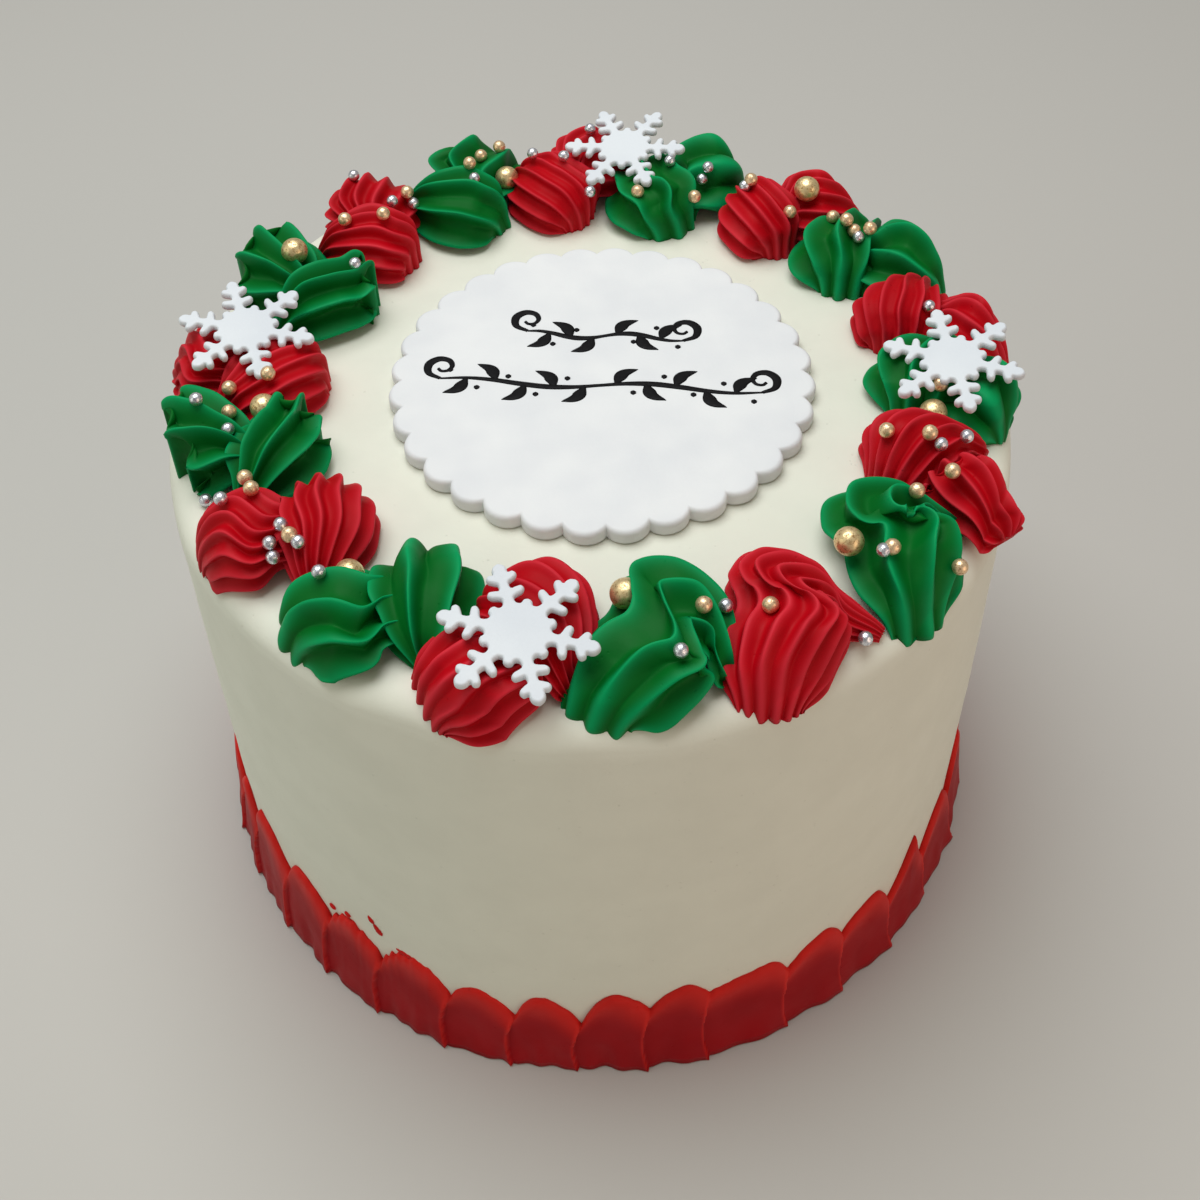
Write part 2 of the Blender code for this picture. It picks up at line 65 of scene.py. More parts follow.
import bpy
import numpy as np
from mathutils import Matrix, Vector
from mathutils.geometry import tessellate_polygon

MM = 0.001
CAD_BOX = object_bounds()
CAKE_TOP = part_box("cake_body")[1].z / MM

# Cake: radii at foot and top, and the rounding of the top edge.
BASE_RADIUS = 107.6
TOP_RADIUS = 104.6
EDGE_ROUND = 6.5

# Foot band: smeared petals. The bearing and height of each dip and of the crown after it, where they show.
# The last crown, before the first dip, is one turn on. A fleck runs from one bearing and height to another,
# with half its width. The top edge is torn most at one bearing, and less with a spread in degrees.
BAND_RADIUS = 110.0
PETALS = 37
PETAL_DIPS = (
    (217.7, 26.7), (227.2, 25.1), (237.0, 24.7), (247.8, 21.6), (257.1, 20.4), (266.2, 18.3), (275.6, 24.0),
    (283.9, 26.8), (295.8, 23.8), (305.4, 23.2), (315.5, 18.5), (325.4, 18.0), (336.4, 20.0),
)
PETAL_CROWNS = (
    (221.2, 35.9), (230.8, 33.6), (242.7, 33.4), (251.6, 29.4), (260.6, 30.9), (271.0, 33.2), (280.7, 33.8),
    (292.2, 31.6), (302.3, 31.4), (311.0, 30.2), (321.4, 36.5), (331.5, 28.5),
)
LAST_CROWN = (569.9, 38.2)
POINTED_PETAL = 10
TORN_FLECKS = (
    ((236.1, 43.2), (237.0, 40.5), 0.5), ((236.9, 40.4), (238.1, 36.4), 0.8),
    ((240.2, 33.8), (243.2, 33.0), 0.6), ((228.1, 33.8), (229.3, 32.8), 0.4),
    ((231.3, 36.2), (232.4, 35.2), 0.4),
)
TORN_BEARING = 237
TORN_SPREAD = 8.0
BAND_CLEAR_OF_FLOOR = 0.6

# Ring of swirls: for each, the radius and bearing of its inner lobe and of its outer one.
RING_RADIUS = 86.5
SWIRL_LOBES = (
    (75.4, 220.1, 95.5, 212.3), (76.4, 243, 95, 232.6), (74.4, 260.1, 96.9, 253.9),
    (73.2, 282.6, 94.5, 272.9), (78, 298.2, 96.7, 292.6), (78.5, 319.4, 97, 314.7),
    (80.1, 336.6, 97.6, 331.3), (80.2, 355.5, 98, 351), (80.8, 373.5, 98.5, 365.3),
    (79.6, 393.4, 95.1, 384.9), (76.8, 412.3, 95.3, 405), (73, 436.2, 93.8, 424.8),
    (74.7, 457.5, 95.4, 445.2), (76.1, 476.8, 97.1, 467.7), (77.1, 497, 95.5, 488.2),
    (72.8, 514.3, 96, 511.4), (74.4, 540, 97.8, 533.1), (76.6, 559.1, 95.7, 551.7),
)
SWIRL_BEARINGS = (219, 239, 259, 279, 297, 317, 335, 353, 372, 390, 409, 431, 451, 473, 493, 514, 538, 556)
FOLDED = (4, 5, 6)
SPILLED = 7
POINTED = (16, 18)
SMOOTH_ENDED = {(2, 1): 0.6, (8, 0): 0.12, (12, 0): 0.25}
FAN_AXES = {1: 66, 2: 44, 9: 70, 11: 75, 12: 56, 13: 61, 14: 67, 15: 53, 16: 38, 17: 38, 18: 54}
NOSE_TURNS = {3: -28, 8: -12, 16: -20}
LOWERED = {2: 0.85}
FAN_MIDDLE = complex(-7.2, 5.4)
FAN_LENGTH = 17.0
FAN_CURL = 7.0
POINTED_FAN = (0.85, 1.2)
POINTED_CROWNS = (13.5, 14.5)
NOSE_NARROWED = ((0.5,), (0.15,))
NOSE_DRAWN_IN = ((-3.4, 1.8), (-1.53, 0.81))
NOSE_STATIONS = 2.6
TAIL_TIPS = {5: (13.0, 18.0), 6: (10.0, 19.5)}
TAIL_SPREAD = (-1.5, 1.0, 0.0, 0.0, 0.5, -1.5)
TUCK = math.radians(18.0)
ALONG, ACROSS, UNDER = 110, 124, 4

# Cages of the ropes of cream in a swirl's own frame, in mm. Each row is a station: how far outwards and
# counter-clockwise its left edge, middle and right edge lie, then the heights of left edge, crown and right
# edge. A folded swirl is one rope that starts blunt at the cake's edge, folds back on itself and rolls
# round the plaque's side to its tail. The others are two shells: one starts blunt at the cake's edge and
# dives in, and the other rolls round the plaque's side, or fans: it starts wide and blunt, and its ridges
# draw together to the tail. A fan is given about its lobe's middle, along its axis and left of it. The
# axes are in degrees from outwards to counter-clockwise, and from 45 on a fan's tail curls in. The spilled
# swirl's outer shell starts blunt on top of the inner one and runs out over the edge. Nose turns swing a
# shell's blunt end round its lobe, less with each station. A lowered swirl's crowns are that much of the
# height. A pointed swirl's fan is narrowed and moved aside, and its first crowns are high. Smooth ended
# ropes, by swirl and number from 0, start as round leaves, with how deep they are parted there. An outer
# one is narrowed and drawn in over its first two stations. A rope's section is tucked under by an angle at
# both edges. It has so many rings of points along it, each with so many points across and under it.
FOLDED_ROPE = (
    (10.5, -19.5, 17, -13.5, 18.2, -6.5, 0, 3.5, 0),
    (5, -18, 13.5, -8.5, 17.8, -1, 0, 10, 0),
    (-2, -13, 11, -2, 16.4, 4.5, 0, 14.6, 0),
    (-6.5, -7, 9, 4, 13.6, 9.5, 1, 15, 2),
    (-8.5, -4.8, 6, 4.8, 11.5, 9.5, 2, 15.4, 5),
    (-11.5, -3.2, 0, 2.6, 9, 9, 1.5, 15.7, 8.5),
    (-15.5, -1, -4.5, 3.5, 8, 9.5, 0.5, 15.5, 8),
    (-17.5, 7.5, -3, 9, 8.5, 10.5, 0, 14.8, 5.5),
    (-9, 16.5, 2, 12.5, 10, 11, 0, 12, 3),
    (2, 18, 7.5, 15, 12, 12, 0, 8, 1),
    (9, 17.5, 10, 15.5, 11, 13.5, 0, 2.5, 0),
)
OUTER_SHELL = (
    FOLDED_ROPE[0],
    (5, -18.5, 14, -9.5, 17.8, -2, 0, 10, 0),
    (-2.5, -13.5, 10, -4.5, 16, 3, 0, 14.6, 0),
    (-5.5, -7, 6.5, 1.5, 12, 8, 2, 12.5, 1),
    (-6.5, -3.5, 1, 2, 6.5, 8, 2, 10, 3),
    (-7.5, 0.5, -3, 4.5, 2.5, 9, 2, 8, 3),
    (-5, 7, -2, 9.5, 1, 11, 2, 5, 2),
)
WIDE_SHELL = (
    (8, -21.5, 15.5, -9.5, 12, 6.5, 0, 9.5, 0),
    (6.5, -20.5, 15, -9, 11, 7.5, 0, 13, 0),
    (2.5, -18, 13, -7, 8, 9, 0, 15, 0.5),
    (-1.5, -13, 8, -4, 3.5, 9, 1, 14.6, 3),
    (-4, -7.5, 2, -0.5, -0.5, 8, 2, 12.5, 3),
    (-5.5, -3, -2.5, 2, -3, 6.5, 2, 9.5, 3),
    (-7, 0.5, -6.5, 3, -6, 5, 2, 5, 2),
)
SPILLED_SHELL = (
    (-3, -6, 2, -0.5, 10.5, 3, 8, 13.5, 7),
    (-1.5, -9, 5.5, -3.5, 14.5, 1, 2, 15.5, 5),
    (3, -12.5, 9.5, -6.5, 18, -1.5, 0, 14.8, 1),
    (8.5, -16.5, 14.5, -10, 20.5, -4.5, 2.5, 13, 2.5),
    (13.5, -18, 18, -12, 21, -7, 5, 10.5, 4.5),
    (17.2, -15.7, 19.4, -13, 20.6, -10.2, 5.5, 7, 5.5),
)
ROLLED_SHELL = (
    (-18, -1, -13.5, -6.5, -6.5, -7.5, 0, 4.5, 0),
    (-20, 4, -11.5, -2, -1.5, -5, 0, 11, 2),
    (-20, 10.5, -9, 4.5, 3, -0.5, 0, 15.3, 4),
    (-15, 16.5, -4, 9.5, 6, 4.5, 0, 15, 5),
    (-6.5, 18.5, 1.5, 13.5, 9, 8.5, 0, 12, 3),
    (3, 18, 7, 14.5, 11, 11, 0, 8, 1),
    (8.5, 17.5, 10, 15.5, 11, 13.5, 0, 2.5, 0),
)
FANNED_SHELL = (
    (-9, 7.8, -13, 0.5, -8.5, -7.8, 0, 3.5, 0),
    (-7.8, 10.2, -11.8, 0.5, -7, -10, 0, 9.5, 0),
    (-4.5, 11.9, -7.5, 0.5, -3.8, -11.2, 0, 13.8, 1),
    (1, 12, -1.5, 0.2, 1.5, -11.2, 0, 15.4, 3),
    (7, 10, 5.5, 0, 6.5, -9.4, 0, 14.4, 3),
    (12, 6.3, 11.5, 0, 11, -6, 0, 10, 1.5),
    (15.5, 2.4, 16, 0, 15.5, -2.4, 0, 3, 0),
)
CAGE_LOBES = (complex(-10.5, 5.8), complex(9.5, -7.0))

# The nozzle's star on a rope: the number of ridges, their depth, how rounded the crests are, the share of
# the depth at the blunt end, how many stations the grooves are set back there, over how many stations the
# end rounds off, and between which stations the crests turn from round to sharp. Long points are set back
# by more than a limit. Grooves take a share of the depth under the smooth rope, and crests the rest.
Star = namedtuple("Star", "ridges depth rounding nose back blunt sharp")
RED_STAR = Star(9, 2.0, 0.22, 0.50, 0.10, 0.5, (0.2, 1.6))
GREEN_STAR = Star(5.0, 3.8, 0.06, 0.40, 0.05, 0.5, (0.2, 1.6))
POINTED_STAR = Star(5.6, 4.6, 0.03, 0.90, 1.25, 0.12, (-2, -1))
SMOOTH_STAR = Star(4.3, 3.6, 0.10, 0.60, 0.08, 0.7, (1.4, 3.8))
TOOTHED_STAR = Star(6.6, 2.8, 0.15, 0.80, 0.55, 0.25, (-2, -1))
LONG_POINTS = 0.2
GROOVE_SHARE = 0.6

# Cream within the clearance of a snowflake's middle plane gives way by a share of how far it is in, and
# cream stays out of the large pearls but for how deep they are sunk. Small ones are sunk a little deeper.
FLAKE_CLEARANCE = 4.2
FLAKE_PRESS = 0.36
PEARL_SUNK = 0.15
SMALL_SUNK = 0.35

# Small pearls on each swirl in its own frame (outwards, counter-clockwise), and their radii.
GOLD_RADIUS = 1.8
SILVER_RADIUS = 1.6
GOLD_PEARLS = {
    1: ((0.4, -13.7), (1.5, 4.2)), 4: ((-1.7, 9.2),), 5: ((2.5, -4.7),),
    6: ((1.0, 10.9), (6.2, -6.4), (17.9, 3.1)), 7: ((-11.3, -0.7), (-1.7, -0.2), (5.9, -9.1)),
    8: ((-1.6, -4.4),), 10: ((-1.0, 13.4), (-3.6, 4.9), (-2.2, 3.0), (0.4, -0.2)),
    11: ((-7.2, 8.2), (-7.5, -5.3)), 12: ((-18.4, 7.8), (-13.3, -7.2)),
    14: ((-0.6, -1.7), (5.1, -7.1), (5.6, -13.0)), 15: ((-4.0, 11.0), (-10.4, 2.9), (-2.0, -11.6)),
    17: ((-0.1, 11.6), (-9.7, 9.8)), 18: ((-0.2, 14.6), (0.4, -6.7)),
}
SILVER_PEARLS = {
    1: ((7.5, -14.3), (1.5, 0.9), (1.1, 7.2), (5.4, 1.9), (6.2, 3.9)), 2: ((2.0, -15.1),),
    4: ((9.6, 1.9),), 5: ((-3.4, -11.7), (13.5, 12.6)), 6: ((5.2, -8.2),), 7: ((1.3, -0.6), (6.0, 4.5)),
    9: ((0.2, -5.1),), 10: ((-2.6, 0.6),), 11: ((-8.5, 9.2),), 12: ((-3.9, 2.6), (-4.0, -8.5), (-5.2, -7.2)),
    13: ((-2.5, 12.8), (-4.8, 4.0), (9.1, -3.9), (-17.5, -2.9)), 14: ((-4.8, -1.4),),
    15: ((12.1, -4.3), (-1.9, -6.4), (-3.9, -12.0)), 16: ((-18.0, -4.1),),
    18: ((9.7, 10.2), (6.9, -7.4), (1.3, -0.1)),
}

# Plaque and its brushed ornament.
PLAQUE_CENTRE = (3.1, 1.0)
PLAQUE_RADIUS = 53.2
PLAQUE_THICK = 4.0
PLAQUE_SCALLOPS = 32
SCALLOP_DEPTH = 2.7
ORNAMENT_TURN = math.radians(-5.0)
ORNAMENT_LIFT = 0.28

# The photo's camera: its place in mm, its turns down, to the right and round its axis in radians, and in
# the photo's pixels its side, the focal length and how far down the middle of the view lies.
CAMERA_PLACE = (0.0, -279.89, 394.81)
CAMERA_TURNS = (0.7711, 0.0088, 0.0199)
PHOTO_SIDE, PHOTO_FOCAL, PHOTO_MIDDLE = 1200.0, 1507.58, 440.0


# Shapes

def placed(name, data):
    """An object of some data, in the scene."""
    obj = bpy.data.objects.new(name, data)
    bpy.context.scene.collection.objects.link(obj)
    return obj


def skin(name, points, faces, material):
    """A smooth mesh object of points in mm and of arrays of faces."""
    corners = np.concatenate([f.ravel() for f in faces]).astype(np.int32)
    sizes = np.concatenate([np.full(len(f), f.shape[1]) for f in faces])
    starts = np.concatenate([[0], np.cumsum(sizes)[:-1]]).astype(np.int32)
    mesh = bpy.data.meshes.new(name)
    mesh.vertices.add(len(points))
    mesh.vertices.foreach_set("co", (np.asarray(points) * MM).astype(np.float32).ravel())
    mesh.loops.add(len(corners))
    mesh.loops.foreach_set("vertex_index", corners)
    mesh.polygons.add(len(sizes))
    mesh.polygons.foreach_set("loop_start", starts)
    mesh.update(calc_edges=True)
    mesh.shade_smooth()
    mesh.materials.append(material)
    return placed(name, mesh)


def piece(name, points, faces, material, slot, *stands_for):
    """A skin that rides on the cake, with its material and the CAD nodes that it stands for. The slot is not
    used.
    """
    obj = skin(name, points, faces, material)
    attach(obj, "root")
    if stands_for:
        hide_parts(*stands_for)
    return obj


def mask(obj, name, values):
    """Stores one number a point as an attribute that a material reads."""
    layer = obj.data.attributes.new(name, "FLOAT", "POINT")
    layer.data.foreach_set("value", np.asarray(values, np.float32).ravel())


def enclosed_volume(points, faces):
    """Signed volume within some faces: a sixth of the triple products over their fans."""
    total = 0.0
    for kind in faces:
        first = points[kind[:, 0]]
        for k in range(1, kind.shape[1] - 1):
            total += np.einsum("ij,ij->", first, np.cross(points[kind[:, k]], points[kind[:, k + 1]]))
    return total / 6.0


def outward(points, faces):
    """The faces, turned over if they enclose a negative volume."""
    return faces if enclosed_volume(points, faces) > 0 else [f[:, ::-1] for f in faces]


def grid_quads(rows, columns, closed_rows=False):
    """Quads of a grid stored row by row, closed along each row and, if asked, from last row to first."""
    i, j = np.meshgrid(np.arange(rows if closed_rows else rows - 1), np.arange(columns), indexing="ij")
    k, n = (j + 1) % columns, (i + 1) % rows
    return np.stack([i * columns + j, i * columns + k, n * columns + k, n * columns + j], -1).reshape(-1, 4)


def fan(rim, hub):
    """Triangles from a closed rim of point numbers to a hub."""
    return np.column_stack([rim, np.roll(rim, -1), np.full(len(rim), hub)])


def closed_tube(points):
    """Points and faces of rings of points, closed along each ring and capped at both ends by a fan."""
    rows, columns, _ = points.shape
    flat = np.vstack([points.reshape(-1, 3), points[0].mean(0), points[-1].mean(0)])
    n = rows * columns
    caps = [fan(np.arange(columns)[::-1], n), fan(np.arange(n - columns, n), n + 1)]
    return flat, outward(flat, [grid_quads(rows, columns), *caps])


def joined(parts):
    """Several pairs of points and faces as one pair."""
    points, faces, count = [], [], 0
    for its_points, its_faces in parts:
        points.append(its_points)
        faces += [kind + count for kind in its_faces]
        count += len(its_points)
    return np.concatenate(points), faces


def through(values, at):
    """Catmull-Rom spline through rows of values, at places counted in rows."""
    values = np.asarray(values, float)
    i = np.clip(np.floor(at).astype(int), 0, len(values) - 2)
    t = (at - i)[:, None]
    padded = np.vstack([2 * values[0] - values[1], values, 2 * values[-1] - values[-2]])
    a, b, c, d = (padded[i + k] for k in range(4))
    cubic = 3 * b - a - 3 * c + d
    return 0.5 * (2 * b + (c - a) * t + (2 * a - 5 * b + 4 * c - d) * t ** 2 + cubic * t ** 3)


def waves(points, size, seed):
    """Smooth unevenness mostly between -1 and 1: a sum of sine waves along seeded directions."""
    count = 9
    draw = np.random.default_rng(seed)
    directions = unit(draw.normal(size=(count, points.shape[-1])))
    lengths = size * draw.uniform(0.6, 1.8, count)
    phases = draw.uniform(0, 2 * math.pi, count)
    angle = points @ (directions / lengths[:, None]).T * 2 * math.pi + phases
    return np.sin(angle).sum(-1) / math.sqrt(count)


def unit(vectors):
    """Vectors in rows, brought to length 1."""
    return vectors / (np.linalg.norm(vectors, axis=-1, keepdims=True) + 1e-9)


def smooth_step(x, low, high):
    """Rises from 0 at low to 1 at high with level ends."""
    t = np.clip((x - low) / (high - low), 0, 1)
    return t * t * (3 - 2 * t)


def circle(count):
    """Angles in radians, evenly spaced round a circle."""
    return np.linspace(0, 2 * math.pi, count, endpoint=False)


def turned(radius, angle, *height):
    """Places from radii and angles in radians, on the plan or with heights."""
    return np.stack(np.broadcast_arrays(radius * np.cos(angle), radius * np.sin(angle), *height), -1)


# Materials

def group(inside, inputs):
    """A shader node group with named sockets for its inputs and for a colour, a roughness and a height.

    The function inside, which it is named after, makes its nodes from the inputs and the place on the
    object, and gives those three.
    """
    tree = bpy.data.node_groups.new(inside.__name__, "ShaderNodeTree")
    kinds = {tuple: "NodeSocketColor", float: "NodeSocketFloat"}
    for label, value in inputs.items():
        socket = tree.interface.new_socket(label, in_out="INPUT", socket_type=kinds[type(value)])
        socket.default_value = value
    outputs = {"Colour": tuple, "Roughness": float, "Height": float}
    for label, kind in outputs.items():
        tree.interface.new_socket(label, in_out="OUTPUT", socket_type=kinds[kind])
    given = tree.nodes.new("NodeGroupInput")
    out = tree.nodes.new("NodeGroupOutput")
    place = tree.nodes.new("ShaderNodeTexCoord").outputs["Object"]
    for label, result in zip(outputs, inside(given.outputs, place)):
        tree.links.new(result, out.inputs[label])
    return tree


def node(kind, inputs, **settings):
    """A node with its settings, and with its inputs, by name or number, set or joined to other outputs."""
    tree = next(value for value in inputs.values() if isinstance(value, bpy.types.NodeSocket)).id_data
    made = tree.nodes.new(kind)
    for label, value in settings.items():
        setattr(made, label, value)
    for label, value in inputs.items():
        if isinstance(value, bpy.types.NodeSocket):
            tree.links.new(value, made.inputs[label])
        else:
            made.inputs[label].default_value = value
    return made


def noise(vector, scale, detail=3.0, roughness=0.55):
    """Noise at a scale in lumps a metre."""
    inputs = {"Vector": vector, "Scale": scale, "Detail": detail, "Roughness": roughness}
    return node("ShaderNodeTexNoise", inputs).outputs["Fac"]


def spread(value, low, high, to_low=0.0, to_high=1.0):
    """Maps a value between two bounds to two others, clamped."""
    return node("ShaderNodeMapRange", {0: value, 1: low, 2: high, 3: to_low, 4: to_high}).outputs[0]


def product(a, b, plus=0.0):
    """a times b, plus a third value."""
    return node("ShaderNodeMath", {0: a, 1: b, 2: plus}, operation="MULTIPLY_ADD").outputs[0]


def blend(part, a, b, kind="MIX"):
    """Mixes two colours."""
    return node("ShaderNodeMix", {0: part, 6: a, 7: b}, data_type="RGBA", blend_type=kind).outputs[2]


def whipped_cream(given, place):
    """Buttercream: mottled colour, air pits darkened as painted shade, and a soft sheen, with a lighter
    colour under a mask as painted highlight, partly where the cream is thinner.
    """
    broad = spread(noise(place, 70.0), 0.35, 0.65)
    fine = noise(place, 900.0, 2.0)
    bubbles = node("ShaderNodeTexVoronoi", {"Vector": place, "Scale": 420.0}).outputs["Distance"]
    few = spread(noise(place, 200.0, 1.0), 0.56, 0.62)
    pit = product(spread(bubbles, 0.05, 0.16, 1.0, 0.0), few)
    pit = product(pit, given["Pits"])
    # The lighter colour under the mask is painted highlight, partly thinner cream.
    colour = blend(given["Highlight And Thin Mask"], given["Colour"], given["Highlight And Thin Colour"])
    darker = blend(1.0, colour, (0.80, 0.80, 0.80, 1), "MULTIPLY")
    # Pits and broad mottle darken the colour: in the pits this is painted shade, the mottle is the cream's
    # own tone.
    shade = product(pit, 0.5, product(broad, given["Mottle"]))
    rough = product(pit, 0.2, product(broad, 0.10, given["Roughness"]))
    height = product(pit, -0.7, product(fine, 0.22, product(broad, 0.5)))
    return blend(shade, colour, darker), rough, height


def rolled_fondant(given, place):
    """White fondant: a fine powdery grain with faint warm and cool patches."""
    patches = spread(noise(place, 55.0, 2.0), 0.35, 0.65)
    grain = noise(place, given["Grain Scale"], 3.0, 0.7)
    shaded = blend(1.0, given["Colour"], (0.93, 0.935, 0.95, 1), "MULTIPLY")
    colour = blend(patches, given["Colour"], shaded)
    return colour, spread(grain, 0.3, 0.7, 0.45, 0.70), product(patches, 0.6, grain)


def pearl_lustre(given, place):
    """Dusted sugar pearls: darker patches, from wear through the lustre on gold ones and painted reflection
    on silver ones, and small dents.
    """
    specks = noise(place, given["Speck Scale"], 3.0, 0.7)
    wear_and_reflection = spread(specks, 0.50, 0.68)
    colour = blend(wear_and_reflection, given["Lustre"], given["Under-coat And Dark Reflection"])
    dents = noise(place, 700.0, 1.0)
    height = product(dents, 0.7, product(specks, -0.5))
    return colour, product(wear_and_reflection, 0.25, given["Roughness"]), height


def finish(name, effect, values, relief, metallic=0.0, specular=0.5, masked=None):
    """A material: a group with values for its sockets in their order, on a plain shader."""
    material = bpy.data.materials.new(name)
    material.use_nodes = True
    tree = material.node_tree
    shader = tree.nodes["Principled BSDF"]
    made = tree.nodes.new("ShaderNodeGroup")
    made.node_tree = effect
    for socket, value in zip(made.inputs, values):
        socket.default_value = value
    if masked:
        read = tree.nodes.new("ShaderNodeAttribute")
        read.attribute_name = masked
        tree.links.new(read.outputs["Fac"], made.inputs["Highlight And Thin Mask"])
    tree.links.new(made.outputs["Colour"], shader.inputs["Base Color"])
    tree.links.new(made.outputs["Roughness"], shader.inputs["Roughness"])
    height = made.outputs["Height"]
    bump = node("ShaderNodeBump", {"Strength": 0.6, "Distance": relief * MM, "Height": height})
    tree.links.new(bump.outputs["Normal"], shader.inputs["Normal"])
    shader.inputs["Metallic"].default_value = metallic
    shader.inputs["Specular IOR Level"].default_value = specular
    return material


CREAM = group(whipped_cream, {
    "Colour": (0.8, 0.8, 0.7, 1), "Highlight And Thin Colour": (0.9, 0.9, 0.8, 1), "Mottle": 0.1, "Roughness": 0.45,
    "Pits": 1.0, "Highlight And Thin Mask": 0.0})
FONDANT = group(rolled_fondant, {"Colour": (0.84, 0.85, 0.87, 1), "Grain Scale": 900.0})
LUSTRE = group(pearl_lustre, {
    "Lustre": (0.8, 0.55, 0.2, 1), "Under-coat And Dark Reflection": (0.3, 0.15, 0.05, 1), "Speck Scale": 1200.0,
    "Roughness": 0.3})
IVORY_CREAM = finish("ivory_cream", CREAM, (
    (0.79, 0.80, 0.69, 1), (0.84, 0.84, 0.75, 1), 0.16, 0.50, 0.7), 0.25, specular=0.3)
# Red and green creams: the lighter colour on the ridge crests, under the crest mask, is painted highlight,
# partly thinner cream.
RED_CREAM = finish("red_cream", CREAM, (
    (0.46, 0.0005, 0.006, 1), (0.66, 0.026, 0.044, 1), 0.5, 0.46, 1.0), 0.2, specular=0.09, masked="crest")
GREEN_CREAM = finish("green_cream", CREAM, (
    (0.0001, 0.130, 0.014, 1), (0.0010, 0.340, 0.110, 1), 0.5, 0.46, 1.0), 0.2, specular=0.09, masked="crest")
# Band cream: its lighter colour rises towards the top edge and along each petal's raised lip, where it is
# painted highlight.
BAND_CREAM = finish("band_cream", CREAM, (
    (0.35, 0.0008, 0.005, 1), (0.70, 0.020, 0.014, 1), 0.6, 0.45, 1.0), 0.2, specular=0.12, masked="thin")
PLAQUE_FONDANT = finish("plaque_fondant", FONDANT, ((0.80, 0.82, 0.83, 1), 900.0), 0.12, specular=0.3)
# Snowflakes: the plaque's white fondant, coloured darker and bluer as painted shade.
FLAKE_FONDANT = finish("flake_fondant", FONDANT, ((0.735, 0.78, 0.82, 1), 1500.0), 0.12, specular=0.3)
GOLD_DUST = finish("gold_dust", LUSTRE, (
    (0.90, 0.70, 0.38, 1), (0.33, 0.18, 0.06, 1), 1300.0, 0.34), 0.25, metallic=0.75)
SMALL_GOLD_DUST = finish("small_gold_dust", LUSTRE, (
    (0.92, 0.68, 0.42, 1), (0.45, 0.24, 0.12, 1), 1700.0, 0.30), 0.25, metallic=0.7)
# Silver pearls: the dark patches of the second colour stand in for dark reflections: painted reflection.
SILVER_LUSTRE_AND_REFLECTION = finish("silver_lustre_and_reflection", LUSTRE, (
    (0.84, 0.86, 0.92, 1), (0.24, 0.23, 0.32, 1), 1700.0, 0.26), 0.3, metallic=0.9)
BLACK_ICING = finish("black_icing", FONDANT, ((0.004, 0.004, 0.005, 1), 1500.0), 0.1, specular=0.12)


# Cake body

def side_radius(height):
    """Radius of the cake's side at a height: a straight line from foot to top."""
    return BASE_RADIUS + (TOP_RADIUS - BASE_RADIUS) * height / CAKE_TOP


def rim_drop(radius):
    """How far the cake's top surface lies below its middle at a radius: a quarter circle at the edge."""
    past = np.clip((radius - (TOP_RADIUS - EDGE_ROUND)) / EDGE_ROUND, 0, 0.93)
    return EDGE_ROUND * (1 - np.sqrt(1 - past ** 2))


def make_cake_body():
    """The iced cake, from the middle of its underside round to the middle of its top.

    A profile of radius and height is turned round the axis: foot, straight side, quarter-round edge and
    level top. The knife's unevenness is added to it: the side bulges by long waves, the edge wanders, and
    the top keeps shallow strokes.
    """
    under = np.column_stack([np.linspace(4, BASE_RADIUS - 1.0, 8), np.zeros(8)])
    heights = np.linspace(0.6, CAKE_TOP - EDGE_ROUND, 56)
    side = np.column_stack([side_radius(heights), heights])
    turn = np.radians(np.linspace(5, 88, 16))
    edge = np.column_stack([TOP_RADIUS - EDGE_ROUND * (1 - np.cos(turn)),
                            CAKE_TOP - EDGE_ROUND * (1 - np.sin(turn))])
    top = np.column_stack([np.linspace(TOP_RADIUS - EDGE_ROUND - 0.5, 2.0, 42), np.full(42, CAKE_TOP)])
    profile = np.vstack([under, side, edge, top])
    bearing = circle(540)
    radius = profile[:, :1] + 0 * bearing
    height = profile[:, 1:] + 0 * bearing
    place = turned(radius, bearing, height)
    on_side = smooth_step(height, 0, 25) * (radius > TOP_RADIUS - EDGE_ROUND - 1)
    near_edge = smooth_step(height, CAKE_TOP - 16, CAKE_TOP - 3) * smooth_step(radius, 86, 100)
    on_top = (height > CAKE_TOP - 0.01) * (1 - smooth_step(radius, 90, 98))
    round_place = turned(100, bearing)
    radius = radius + on_side * (0.22 * waves(place, 70, 1) + 0.05 * waves(place * (0.3, 0.3, 3.0), 22, 2))
    radius = radius + near_edge * 0.30 * waves(round_place, 32, 3)
    height = height + near_edge * (0.30 * waves(round_place, 24, 4) - 0.15)
    height = height + on_top * (0.10 * waves(place, 34, 5) - 0.10)
    flat, faces = closed_tube(turned(radius, bearing, height))
    piece("smoothed_cake_body", flat, faces, IVORY_CREAM, "cream_buttercream", "cake_body")


# Foot band

def petal_edges():
    """Bearings and heights of the dips between petals and of the crowns, right round the cake."""
    draw = np.random.default_rng(7)
    dips_seen, crowns_seen = len(PETAL_DIPS), len(PETAL_CROWNS)
    unseen = PETALS - dips_seen
    last, end = PETAL_DIPS[-1][0], PETAL_DIPS[0][0] + 360
    further = last + (end - last) / (unseen + 1) * np.arange(1, unseen + 1) + draw.uniform(-0.8, 0.8, unseen)
    dips_at = np.concatenate([[bearing for bearing, _ in PETAL_DIPS], further, [end]])
    crowns_at = dips_at[:-1] + np.diff(dips_at) * draw.uniform(0.42, 0.56, PETALS)
    dips = draw.uniform(19, 27, PETALS + 1)
    crowns = draw.uniform(30, 37, PETALS)
    dips[:dips_seen] = [height for _, height in PETAL_DIPS]
    dips[-1] = dips[0]
    crowns_at[:crowns_seen], crowns[:crowns_seen] = np.array(PETAL_CROWNS).T
    crowns_at[-1], crowns[-1] = LAST_CROWN
    return dips_at, dips, crowns_at, crowns


